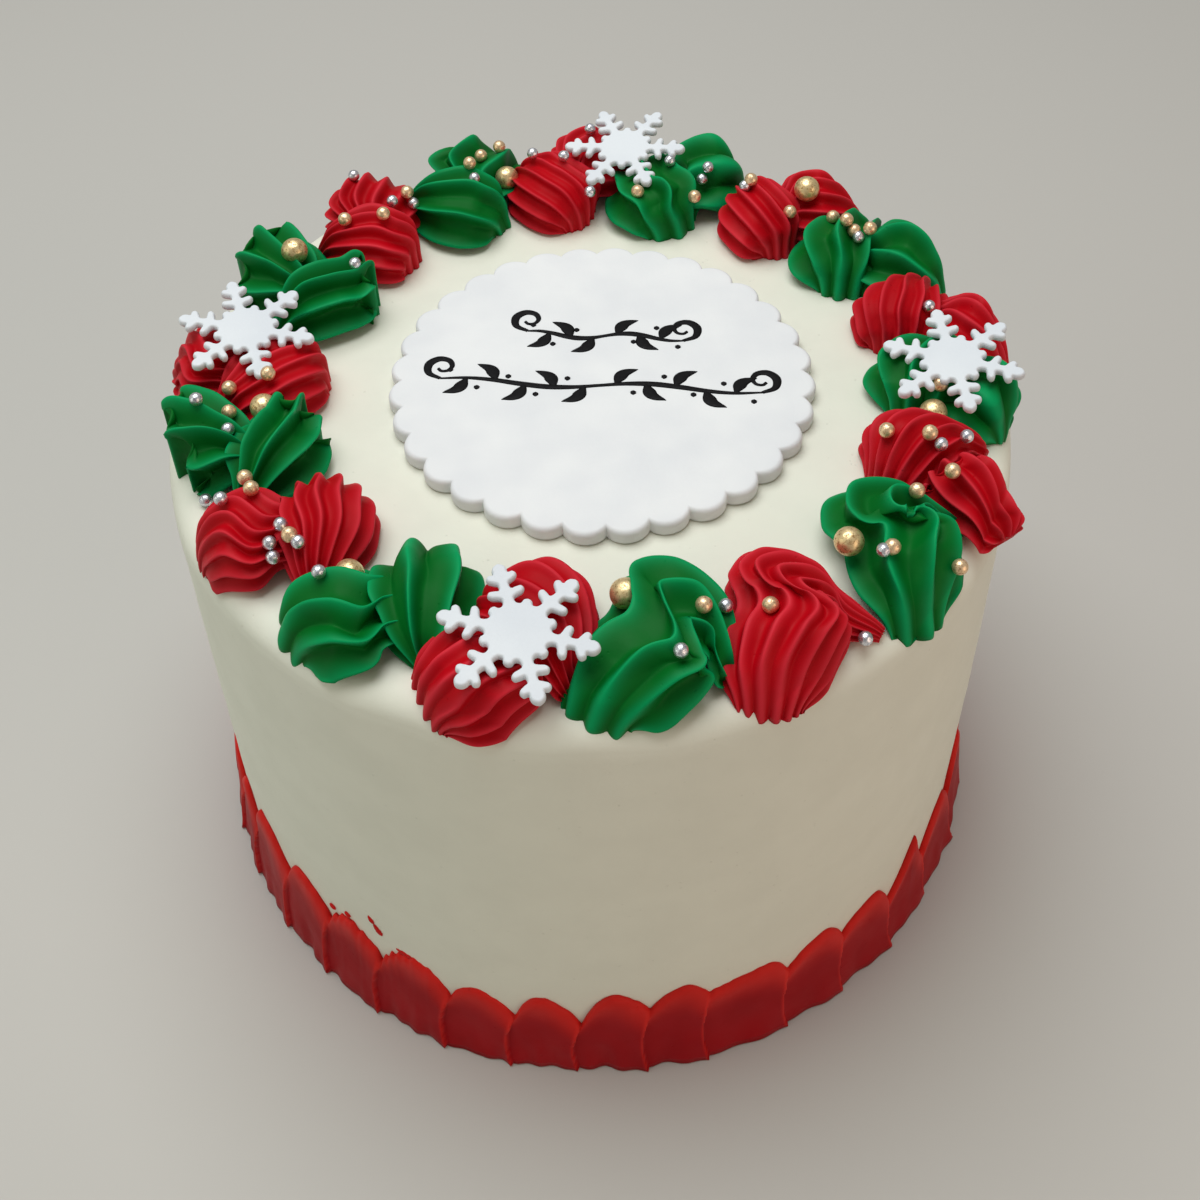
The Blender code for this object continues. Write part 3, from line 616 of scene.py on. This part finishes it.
def torn_flecks():
    """Points and faces of each fleck that the knife tore off: a thin lens along a short line on the side."""
    along = np.linspace(0.03, 0.97, 24)[:, None]
    turn = circle(14)
    swell = np.sin(math.pi * along) ** 0.6
    for number, (start, end, width) in enumerate(TORN_FLECKS):
        ends = np.array([(math.radians(bearing) * BASE_RADIUS, height) for bearing, height in (start, end)])
        line = ends[0] + (ends[1] - ends[0]) * along
        ahead = (ends[1] - ends[0]) / np.linalg.norm(ends[1] - ends[0])
        ragged = width * swell * (1 + 0.35 * waves(line, 1.6, 30 + number)[:, None])
        arc = line[:, :1] - ahead[1] * ragged * np.cos(turn)
        height = line[:, 1:] + ahead[0] * ragged * np.cos(turn)
        radius = side_radius(height) + 0.1 + 0.5 * swell * np.sin(turn)
        yield closed_tube(turned(radius, arc / BASE_RADIUS, height))


def make_band():
    """The red band: overlapping strokes of a knife, thin at the top and heavy at the foot.

    The surface runs over a bearing and a place round the section. A stroke's top edge climbs from each dip
    to the crown and back as a sine to a power, or a plain power at the pointed one. Its face is hollow: it
    thickens from the left to a lip on the right, where the next stroke starts lower.
    """
    columns, rows = 1600, 26
    dips_at, dips, crowns_at, crowns = petal_edges()
    bearing = dips_at[0] + np.linspace(0, 360, columns, endpoint=False)
    up = np.linspace(0, 1, rows)[:, None] ** 0.85
    slant = 0.9 * np.sin(math.pi * up) - 0.5 * up
    at = dips_at[0] + np.mod(bearing + slant - dips_at[0], 360)
    which = np.clip(np.searchsorted(dips_at, at, side="right") - 1, 0, PETALS - 1)
    part = (at - dips_at[which]) / (dips_at[which + 1] - dips_at[which])
    crown_part = (crowns_at[which] - dips_at[which]) / (dips_at[which + 1] - dips_at[which])
    rising = part < crown_part
    t = np.where(rising, part / crown_part, (1 - part) / (1 - crown_part))
    dip = np.where(rising, dips[which], dips[which + 1])
    t = np.clip(t, 0, 1)
    climb = np.where(which == POINTED_PETAL, t ** 1.3, np.sin(math.pi / 2 * t) ** 0.8)
    top = dip + (crowns[which] - dip) * climb
    angle = np.radians(bearing)
    ring = turned(BAND_RADIUS, angle)
    torn = 0.25 + 1.9 * np.exp(-((bearing - TORN_BEARING) / TORN_SPREAD) ** 2)
    top = top + torn * 0.45 * waves(ring, 2.6, 11) + 0.5 * waves(ring, 9.0, 12)
    height = BAND_CLEAR_OF_FLOOR + (top - BAND_CLEAR_OF_FLOOR) * up
    hollow = 0.55 * np.sin(math.pi * np.clip(part, 0, 1))
    lip = 1.25 * np.clip(part, 0, 1) ** 1.6 - 0.25
    thick = 1.1 + 2.8 * (1 - up) ** 1.5 + (lip - hollow) * smooth_step(1 - up, 0, 0.30)
    place = turned(BAND_RADIUS, angle, height * 0.7)
    thick = thick + 0.25 * waves(place, 12.0, 13) * (1 - up)
    thick = thick + 0.5 * waves(ring, 8.0, 14) * np.clip(1 - 2.5 * up, 0, 1)
    edge = np.clip((1 - up) * rows / 4.0, 0, 1)
    thick = np.maximum(thick, 0.5) * np.sqrt(1 - (1 - edge) ** 2) * 0.95 + 0.05
    inner = np.linspace(1, 0, 8)[:, None] * (top[-1] - BAND_CLEAR_OF_FLOOR) + BAND_CLEAR_OF_FLOOR
    radius = np.concatenate([side_radius(height) + 0.35 + thick, side_radius(inner) - 0.4])
    flat = turned(radius, angle, np.concatenate([height, inner])).reshape(-1, 3)
    faces = outward(flat, [grid_quads(len(radius), columns, True)])
    # Lighter colour towards the top edge and along each petal's lip; on the lip it is painted highlight.
    thin = 0.9 * smooth_step(up, 0.60, 1.0) + 0.6 * smooth_step(part, 0.94, 0.99) * (up < 0.97)
    flat, faces = joined([(flat, faces), *torn_flecks()])
    obj = piece("smeared_base_band", flat, faces, BAND_CREAM, "band_buttercream", "base_border")
    mask(obj, "thin", np.concatenate([np.clip(thin, 0, 1).ravel(), np.full(len(flat) - thin.size, 0.6)]))


# Plaque

def plaque_outline(bearing):
    """Radius of the scalloped outline at bearings in radians: shallow round lobes between notches."""
    lobe = PLAQUE_RADIUS * math.pi / PLAQUE_SCALLOPS
    arc = (lobe ** 2 + SCALLOP_DEPTH ** 2) / (2 * SCALLOP_DEPTH)
    across = (np.mod(bearing * PLAQUE_SCALLOPS / (2 * math.pi), 1) - 0.5) * 2 * lobe
    return PLAQUE_RADIUS + np.sqrt(arc ** 2 - (across * 0.985) ** 2) - arc


def make_plaque():
    """The plaque: its scalloped outline swept round a section with soft corners, then rings to the middle."""
    bearing = circle(1280)
    turn = np.radians(np.linspace(0, 90, 9))
    soft = 1.3
    inset = np.concatenate([(30.0, 12.0, 2.0, 0.5, 0.2, 0.1, 0.0), soft * (1 - np.cos(turn)),
                            np.linspace(2.2, 50.0, 16)])[:, None]
    height = np.concatenate([(0.05, 0.05, 0.05, 0.05, 0.25, 0.6, 1.4),
                             PLAQUE_THICK - soft * (1 - np.sin(turn)), np.full(16, PLAQUE_THICK)])[:, None]
    calm = smooth_step(inset, 1.5, 14.0)
    radius = plaque_outline(bearing) * (1 - calm) + (PLAQUE_RADIUS - 0.7) * calm - inset
    round_place = turned(1, bearing)
    radius = radius * (1 + 0.006 * waves(round_place * 50, 40, 22))
    plan = radius[..., None] * round_place
    level = height + 0.05 * waves(plan, 38, 21) * (height > 2)
    points = np.concatenate([plan + PLAQUE_CENTRE, (level + CAKE_TOP)[..., None]], -1)
    flat, faces = closed_tube(points)
    piece("scalloped_plaque", flat, faces, PLAQUE_FONDANT, "white_fondant", "plaque")


def stroke(path, widths):
    """Rings of a brushed stroke along a path on the plaque: a flat half-round, pointed at both ends."""
    path = np.asarray(path, float)
    count = 12 * (len(path) - 1) + 1
    line = through(path, np.linspace(0, len(path) - 1, count))
    along = np.gradient(line, axis=0)
    side = unit(np.stack([-along[:, 1], along[:, 0]], -1))
    wide = through(np.asarray(widths, float)[:, None], np.linspace(0, len(widths) - 1, count)) / 2
    wide = np.maximum(wide, 0.08)
    turn = circle(10)
    plan = line[:, None] + side[:, None] * (wide * np.cos(turn))[..., None]
    rise = ORNAMENT_LIFT * np.sin(turn) * np.clip(wide / 0.4, 0.3, 1)
    return np.concatenate([plan, rise[..., None]], -1)


def curl(radius, start, turns, shrink):
    """Points along a spiral that winds inwards."""
    part = np.linspace(0, 1, 9)
    return turned(radius * (1 - shrink * part), np.radians(start) + turns * 2 * math.pi * part)


def garland(middle, half, leaves):
    """Strokes of one garland: a waving stem, a curl at both ends, and leaves and berries by turns."""
    def stem(x):
        """How far up the waving stem lies at a place along it."""
        return middle + 1.2 * np.sin(x / half * 2 * math.pi)

    curl_radius, end = 4.4, half - 4
    x = np.linspace(-end, end, 13)
    strokes = [(np.column_stack([x, stem(x)]), (0.6, 1.5, 1.9, 1.1, 1.9, 1.5, 0.6))]
    for way in (-1, 1):
        spiral = curl(curl_radius, start=-90, turns=1.15, shrink=0.72)
        spiral[:, 0] = way * (spiral[:, 0] + end)
        spiral[:, 1] += stem(way * end) + curl_radius
        strokes.append((spiral, (1.0, 2.3, 1.7, 1.0, 0.9)))
    for k in range(leaves):
        x0 = (k + 0.5) / leaves * (2 * half - 14) - half + 7
        root = np.array([x0, stem(x0)])
        side = 1 if k % 2 else -1
        lean = 1 if x0 > 0 else -1
        strokes.append((np.array([root, root + (lean * 1.8, side * 4.0), root + (lean * 5.4, side * 5.8)]),
                        (0.6, 3.3, 2.4, 0.2)))
        berry = root + (lean * 4.6, -side * 2.8)
        strokes.append((np.array([berry - (0.7, 0), berry, berry + (0.7, 0)]), (0.7, 1.7, 0.7)))
    return strokes


def make_ornament():
    """The brushed ornament: two leafy garlands with curled ends and berries, one under the other."""
    strokes = garland(15.0, 24.0, 6) + garland(-4.0, 44.0, 10)
    flat, faces = joined(closed_tube(stroke(path, widths)) for path, widths in strokes)
    cosine, sine = math.cos(ORNAMENT_TURN), math.sin(ORNAMENT_TURN)
    plan = flat[:, :2] @ np.array([[cosine, sine], [-sine, cosine]])
    level = flat[:, 2] + CAKE_TOP + PLAQUE_THICK + 0.05 * waves(plan, 38, 21)
    points = np.column_stack([plan + PLAQUE_CENTRE, level])
    piece("brushed_garlands", points, faces, BLACK_ICING, "white_fondant")


# Swirls

def star_relief(psi, star, lean):
    """Height of the ridges over a rope's section, 0 in a groove and 1 on a crest: sharp ones and round ones.

    The angle psi runs from one tucked edge over the crown to the other. A sharp ridge is 1 less the absolute
    cosine of it, with its crest rounded a little; a round one is the absolute sine. A lean moves the crests
    to one side by a squared sine, so that one flank is steep and the other gentle.
    """
    turn = (psi + TUCK) / (math.pi + 2 * TUCK) * star.ridges
    turn = turn + lean * np.sin(math.pi * turn) ** 2 / math.pi
    rounded = np.sqrt(np.cos(math.pi * turn) ** 2 + star.rounding ** 2)
    sharp = 1 - (rounded - star.rounding) / (math.sqrt(1 + star.rounding ** 2) - star.rounding)
    return sharp, np.abs(np.sin(math.pi * turn))


def evened(field, passes):
    """A field of vectors over a grid, evened out with its neighbours a number of times, at length 1."""
    for _ in range(passes):
        field[1:-1] = (field[:-2] + 2 * field[1:-1] + field[2:]) / 4
        field[:, 1:-1] = (field[:, :-2] + 2 * field[:, 1:-1] + field[:, 2:]) / 4
    return unit(field)


def moved(cage, change):
    """Moves a cage's edges and middle on the plan by a change of their places as complex numbers."""
    for k in (0, 2, 4):
        place = change(cage[:, k] + 1j * cage[:, k + 1])
        cage[:, k], cage[:, k + 1] = place.real, place.imag


def swirl_cages(number, draw):
    """The cages of one swirl: jittered, moved and turned so that its lobes come where this swirl's are."""
    lobes = SWIRL_LOBES[number - 1]
    wanted = [cmath.rect(radius, math.radians(bearing - SWIRL_BEARINGS[number - 1])) - RING_RADIUS
              for radius, bearing in (lobes[:2], lobes[2:])]
    turn = (wanted[1] - wanted[0]) / (CAGE_LOBES[1] - CAGE_LOBES[0])
    turn /= abs(turn) ** 0.5
    shift = sum(wanted) / 2 - turn * sum(CAGE_LOBES) / 2
    kinds = [OUTER_SHELL, FANNED_SHELL if number in FAN_AXES else ROLLED_SHELL]
    if number in POINTED:
        kinds[0] = WIDE_SHELL
    if number == SPILLED:
        kinds[0] = SPILLED_SHELL
    if number in FOLDED:
        kinds = [FOLDED_ROPE]
    cages = []
    for rows in kinds:
        cage = np.array(rows, float)
        if rows is FANNED_SHELL:
            axis = FAN_AXES[number]
            curl_in = FAN_CURL * max(axis - 45, 0) / 30 * np.clip(cage[:, 2] / FAN_LENGTH, 0, 1) ** 1.5
            share, aside = POINTED_FAN if number in POINTED else (1, 0)
            moved(cage, lambda place: FAN_MIDDLE + cmath.rect(1, math.radians(axis)) * (
                place.real + 1j * (place.imag * share + aside - curl_in)))
        if number in POINTED:
            cage[:2, 7] = POINTED_CROWNS
        if not cages and (number, 0) in SMOOTH_ENDED:
            for k in (0, 4):
                cage[:2, k:k + 2] += (cage[:2, 2:4] - cage[:2, k:k + 2]) * NOSE_NARROWED
            cage[:2, :6] += np.tile(NOSE_DRAWN_IN, 3)
        if rows in (OUTER_SHELL, WIDE_SHELL):
            less = np.clip(1 - np.arange(len(cage)) / NOSE_STATIONS, 0, 1)
            swing = np.exp(1j * math.radians(NOSE_TURNS.get(number, 0)) * less)
            moved(cage, lambda place: (place - CAGE_LOBES[1]) * swing + CAGE_LOBES[1])
        cage[:, :6] += draw.normal(scale=0.5, size=(len(cage), 6))
        cage[:, 7] *= draw.uniform(0.95, 1.04) * LOWERED.get(number, 1.0)
        moved(cage, lambda place: place * turn + shift)
        cages.append(cage)
    if number in TAIL_TIPS:
        cages[-1][-1, :6] = np.tile(TAIL_TIPS[number], 3) + TAIL_SPREAD
    return cages


def rope(cage, star, lean, seed):
    """Rings of points of one ridged rope of cream in a swirl's frame, in mm, and the relief at each point.

    Along the rope the cage gives its left edge, middle and right edge by a spline. Across it, with
    w = (1 - cos psi) / 2, the plan place is the parabola through those three, and the height is the edge
    height plus the crown's rise times the sine of psi, raised so that the widest part stands clear of the
    cake. At the blunt end the grooves are set back along the rope behind the crests. The ridges are then
    pushed out along the surface's normal, less where they are drawn together, and sideways only at an end
    with long points.
    """
    rows = ALONG if len(cage) < 9 else ALONG * 3 // 2
    at = (len(cage) - 1) * np.linspace(0, 1, rows)[:, None] ** 1.12
    psi = np.linspace(-TUCK, math.pi + TUCK, ACROSS)
    sharp, bumps = star_relief(psi, star, lean)
    relief = sharp + (bumps - sharp) * (1 - smooth_step(at, *star.sharp))
    set_back = star.back * (1 - relief) * (1 - smooth_step(at, 0.0, 2.4))
    line = through(cage, (at + set_back).ravel()).reshape(rows, ACROSS, -1)
    left, middle, right = line[..., 0:2], line[..., 2:4], line[..., 4:6]
    wide = (1 - np.cos(psi))[:, None] / 2
    plan = left * (2 * wide - 1) * (wide - 1) + middle * 4 * wide * (1 - wide) + right * wide * (2 * wide - 1)
    edge = line[..., 6] * (1 + np.cos(psi)) / 2 + line[..., 8] * (1 - np.cos(psi)) / 2
    nose = np.sqrt(1 - (1 - np.clip(at / star.blunt, 0, 1)) ** 2)
    rise = (np.sin(psi) + math.sin(TUCK)) / (1 + math.sin(TUCK))
    height = (edge + (line[..., 7] - edge) * rise) * nose
    points = np.concatenate([plan, height[..., None]], -1)
    across = np.gradient(points, axis=1)
    normal = np.cross(across, np.gradient(points, axis=0))
    normal = evened(normal, 12)
    if normal[:, ACROSS // 3:ACROSS * 2 // 3, 2].sum() < 0:
        normal = -normal
    ahead = unit(plan[0] - plan[rows // 6])
    facing = (normal[..., :2] * ahead).sum(-1) * (1 - smooth_step(at, 0.0, 0.8))
    if star.back > LONG_POINTS:
        normal[..., :2] -= ahead * facing[..., None]
    spacing = np.linalg.norm(across, axis=-1) * ACROSS / star.ridges
    depth = star.depth * np.clip(spacing / np.median(spacing), 0.25, 1.15)
    depth = depth * (star.nose + (1 - star.nose) * smooth_step(at, 0.2, 1.6))
    points = points + normal * (depth * (relief - GROOVE_SHARE))[..., None]
    return points + normal * (0.16 * waves(points, 9.0, seed))[..., None], relief


def to_cake(points, bearing):
    """From a swirl's frame to the cake's: turned to its bearing, and let down over the rounded rim."""
    place = (points[..., 0] + RING_RADIUS + 1j * points[..., 1]) * cmath.rect(1, math.radians(bearing))
    return np.stack([place.real, place.imag, CAKE_TOP + points[..., 2] - rim_drop(abs(place))], -1)


def pearl_places():
    """Name, middle and radius in mm of every large pearl, from the box of its CAD node."""
    places = []
    for name in sorted(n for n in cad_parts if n.startswith("gold_pearl")):
        low, high = (np.array(v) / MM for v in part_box(name))
        places.append((name, (low + high) / 2, float(min(high[0] - low[0], high[1] - low[1])) / 2))
    return places


def flake_places():
    """Name, middle, upward normal, radius and first tip of every snowflake, from its CAD node's points."""
    places = []
    for name in sorted(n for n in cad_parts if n.startswith("snowflake")):
        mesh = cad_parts[name].data
        spots = np.empty(len(mesh.vertices) * 3)
        mesh.vertices.foreach_get("co", spots)
        spots = np.unique(np.round(spots.reshape(-1, 3) / MM, 4), axis=0)
        middle = spots.mean(0)
        _, _, axes = np.linalg.svd(spots - middle, full_matrices=False)
        normal = axes[2] * np.sign(axes[2][2])
        flat = (spots - middle) - np.outer((spots - middle) @ normal, normal)
        reach = np.linalg.norm(flat, axis=1)
        places.append((name, middle, normal, float(reach.max()), flat[np.argmax(reach)]))
    return places


def pressed(points):
    """The swirls' points, pushed down under the snowflakes and out of the large pearls."""
    for _, middle, normal, reach, _ in flake_places():
        away = points - middle
        near = 1 - smooth_step(np.hypot(away[..., 0], away[..., 1]), reach - 3.0, reach + 4.0)
        over = np.clip(away @ normal + FLAKE_CLEARANCE, 0, None)
        points = points - (FLAKE_PRESS * over * near)[..., None] * normal
    for _, middle, radius in pearl_places():
        away = points - middle
        distance = np.linalg.norm(away, axis=-1, keepdims=True)
        points = points + away / (distance + 1e-6) * np.clip(radius - PEARL_SUNK - distance, 0, None)
    return points


def make_swirl(number):
    """One piped swirl, its ropes in one piece, which stands for its CAD node."""
    colour, cream, own_star = "green", GREEN_CREAM, GREEN_STAR
    if number % 2:
        colour, cream, own_star = "red", RED_CREAM, RED_STAR
    draw = np.random.default_rng(39 + number)
    tubes, crests = [], []
    for which, cage in enumerate(swirl_cages(number, draw)):
        star = own_star
        lean = draw.uniform(-0.4, 0.4) + 0.55 * which
        if number in POINTED:
            star = POINTED_STAR
            lean *= 0.3
        if (number, which) in SMOOTH_ENDED:
            star = SMOOTH_STAR._replace(nose=SMOOTH_ENDED[number, which])
        if number == SPILLED and not which:
            star = TOOTHED_STAR
        ring, relief = rope(cage, star, lean, 298 + 2 * number + which)
        ring = pressed(to_cake(ring, SWIRL_BEARINGS[number - 1]))
        part = np.linspace(0, 1, UNDER + 2)[1:-1].reshape(1, -1, 1)
        below = ring[:, -1:] * (1 - part) + ring[:, :1] * part
        below[..., 2] -= 0.8
        tubes.append(closed_tube(np.concatenate([ring, below], 1)))
        # The crest mask, high on the ridge tops, carries the painted highlight.
        crests += [np.pad(relief ** 3, ((0, 0), (0, UNDER))).ravel(), (0, 0)]
    name = "swirl_%02d_%s" % (number, colour)
    obj = piece("piped_" + name, *joined(tubes), cream, colour + "_buttercream", name)
    mask(obj, "crest", np.concatenate(crests))
    return obj


# Pearls

def ball(radius, columns, rows, seed, uneven):
    """Points and faces of a slightly uneven ball of a radius in mm: rings of points from foot to top."""
    bearing = circle(columns)
    rise = np.linspace(-math.pi / 2, math.pi / 2, rows + 2)[1:-1, None]
    points = radius * turned(np.cos(rise), bearing, np.sin(rise))
    flat, faces = closed_tube(points * (1 + uneven * waves(points, radius * 1.6, seed))[..., None])
    flat[-2:] *= radius / np.linalg.norm(flat[-2:], axis=1)[:, None]
    return flat, faces


def make_large_pearls():
    """The eight large dusted pearls, each in its CAD node's place."""
    for count, (name, middle, radius) in enumerate(pearl_places()):
        points, faces = ball(radius, 48, 30, 60 + count, 0.012)
        piece("dusted_" + name, points + middle, faces, GOLD_DUST, "gold_pearl", name)


def resting_height(x, y, radius, skins):
    """Height of a ball's middle when it rests on some skins, felt with rays down all over its round."""
    best = CAKE_TOP + radius
    for part, count in ((0.0, 1), (0.5, 6), (0.85, 9)):
        for aside, ahead in turned(part * radius, circle(count)):
            start = Vector((x + aside, y + ahead, 2 * CAKE_TOP)) * MM
            for obj in skins:
                hit, place, _, _ = obj.ray_cast(start, Vector((0, 0, -1)))
                if hit:
                    best = max(best, place.z / MM + radius * math.sqrt(1 - part * part))
    return best


def make_small_pearls(name, table, radius, material, swirls, seed):
    """Small pearls of one kind, as one piece: each rests on the swirls under it and sinks in a little."""
    spots = []
    draw = np.random.default_rng(seed)
    for number, places in table.items():
        near = [swirls[(number - 2 + k) % len(swirls)] for k in range(3)]
        for out, ccw in places:
            x, y, _ = to_cake(np.array([out, ccw, 0.0]), SWIRL_BEARINGS[number - 1]).tolist()
            height = resting_height(x, y, radius, near) - SMALL_SUNK - draw.uniform(0, 0.15)
            spots.append((x, y, min(height, CAD_BOX[1].z / MM - radius - 0.1)))
    points, faces = ball(radius, 20, 13, seed, 0.02)
    piece(name, *joined((points + spot, faces) for spot in spots), material, "gold_pearl")


# Snowflakes

def flake_outline(radius):
    """Outline of a snowflake on the plan.

    Half an arm runs from the stub between two arms past a side branch and a neck to the three-lobed tip.
    It is mirrored, turned six times, and rounded by a spline.
    """
    half = np.array([(0.408, 0.2355), (0.415, 0.178), (0.380, 0.132), (0.405, 0.085), (0.470, 0.074),
                     (0.500, 0.118), (0.525, 0.190), (0.575, 0.228), (0.625, 0.200), (0.625, 0.130),
                     (0.620, 0.076), (0.695, 0.068), (0.725, 0.112), (0.765, 0.172), (0.815, 0.188),
                     (0.858, 0.150), (0.855, 0.095), (0.905, 0.094), (0.962, 0.070), (1.000, 0.000)])
    arm = np.vstack([half * (1, -1), half[-2:0:-1]]) @ (radius, 1j * radius)
    rough = np.concatenate([arm * cmath.rect(1, turn) for turn in circle(6)])
    rough = np.column_stack([rough.real, rough.imag])
    return through(np.vstack([rough[-1:], rough, rough[:2]]), np.arange(0, len(rough), 0.25) + 1)


def make_snowflakes():
    """The fondant snowflakes: a flat plate whose edge is a half-round swept along the outline."""
    thick, soft = 2.1, 0.62
    turn = np.radians(np.linspace(-90, 90, 13))
    for name, middle, normal, reach, tip in flake_places():
        outline = flake_outline(reach)
        along = np.roll(outline, -1, 0) - np.roll(outline, 1, 0)
        inward = unit(np.stack([-along[:, 1], along[:, 0]], -1))
        inset = soft * (1 - np.cos(turn))[:, None, None]
        level = (np.sin(turn) * thick / 2)[:, None, None] + 0 * outline[None, :, :1]
        rings = np.concatenate([outline + inward * inset, level], -1)
        flat = rings.reshape(-1, 3)
        cap = np.array(tessellate_polygon([[Vector((*p, 0)) for p in rings[-1, :, :2]]]))
        if enclosed_volume(np.column_stack([rings[-1, :, :2], np.ones(len(outline))]), [cap]) < 0:
            cap = cap[:, ::-1]
        faces = [grid_quads(len(turn), len(outline)),
                 np.concatenate([cap + (len(turn) - 1) * len(outline), cap[:, ::-1]])]
        across = tip / np.linalg.norm(tip)
        points = middle + flat @ np.array([across, np.cross(normal, across), normal])
        obj = piece("fondant_" + name, points, faces, FLAKE_FONDANT, "white_fondant", name)
        smooth = np.repeat([True, False], [len(part) for part in faces])
        obj.data.polygons.foreach_set("use_smooth", smooth)


# Camera and studio

def make_camera():
    """The photo's view: 44 degrees down from the front, close and a little wide."""
    data = bpy.data.cameras.new("camera")
    data.sensor_width = 36.0
    data.lens = data.sensor_width * PHOTO_FOCAL / PHOTO_SIDE
    data.shift_y = (PHOTO_MIDDLE - PHOTO_SIDE / 2) / PHOTO_SIDE
    down, right, roll = CAMERA_TURNS
    turn = Matrix.Rotation(-right, 4, "Z") @ Matrix.Rotation(math.pi / 2 - down, 4, "X")
    turn = turn @ Matrix.Rotation(-roll, 4, "Z")
    camera = placed("camera", data)
    camera.matrix_world = Matrix.Translation(Vector(CAMERA_PLACE) * MM) @ turn
    bpy.context.scene.camera = camera


def area_light(name, place, target, size, power, colour):
    """A square soft light at a place, facing a target, in metres and watts."""
    data = bpy.data.lights.new(name, "AREA")
    data.size = size
    data.energy = power
    data.color = colour
    light = placed(name, data)
    light.location = place
    light.rotation_euler = (Vector(target) - Vector(place)).to_track_quat("-Z", "Y").to_euler()


def make_studio():
    """Pale floor, dim world, and soft lights above and behind, so the cake's front is in gentle shade."""
    corners = np.array([(-1, -1, 0), (1, -1, 0), (1, 1, 0), (-1, 1, 0)]) * 3000
    paint = bpy.data.materials.new("floor_paint")
    paint.use_nodes = True
    shader = paint.node_tree.nodes["Principled BSDF"]
    shader.inputs["Base Color"].default_value = (0.53, 0.52, 0.49, 1)
    shader.inputs["Roughness"].default_value = 0.65
    skin("floor", corners, [np.array([[0, 1, 2, 3]])], paint)
    world = bpy.data.worlds.new("studio")
    bpy.context.scene.world = world
    world.use_nodes = True
    back = world.node_tree.nodes["Background"]
    back.inputs["Color"].default_value = (1.0, 0.965, 0.89, 1)
    back.inputs["Strength"].default_value = 0.27
    area_light("ceiling_panel", (-0.18, 0.22, 1.28), (0, 0, 0.1), 1.0, 12.8, (0.97, 0.99, 1.0))
    area_light("left_fill", (-1.1, -0.35, 0.5), (0, 0, 0.08), 0.9, 2.0, (0.93, 1.0, 0.84))
    area_light("right_fill", (0.9, -0.85, 0.40), (0, 0, 0.06), 0.9, 3.6, (1.0, 0.72, 0.56))
    bpy.context.scene.view_settings.view_transform = "Standard"


make_camera()
make_studio()
make_cake_body()
make_band()
make_plaque()
make_ornament()
swirls = [make_swirl(number) for number in range(1, 19)]
bpy.context.view_layer.update()
make_large_pearls()
make_small_pearls("small_gold_pearls", GOLD_PEARLS, GOLD_RADIUS, SMALL_GOLD_DUST, swirls, 70)
make_small_pearls("small_silver_pearls", SILVER_PEARLS, SILVER_RADIUS, SILVER_LUSTRE_AND_REFLECTION, swirls, 71)
make_snowflakes()
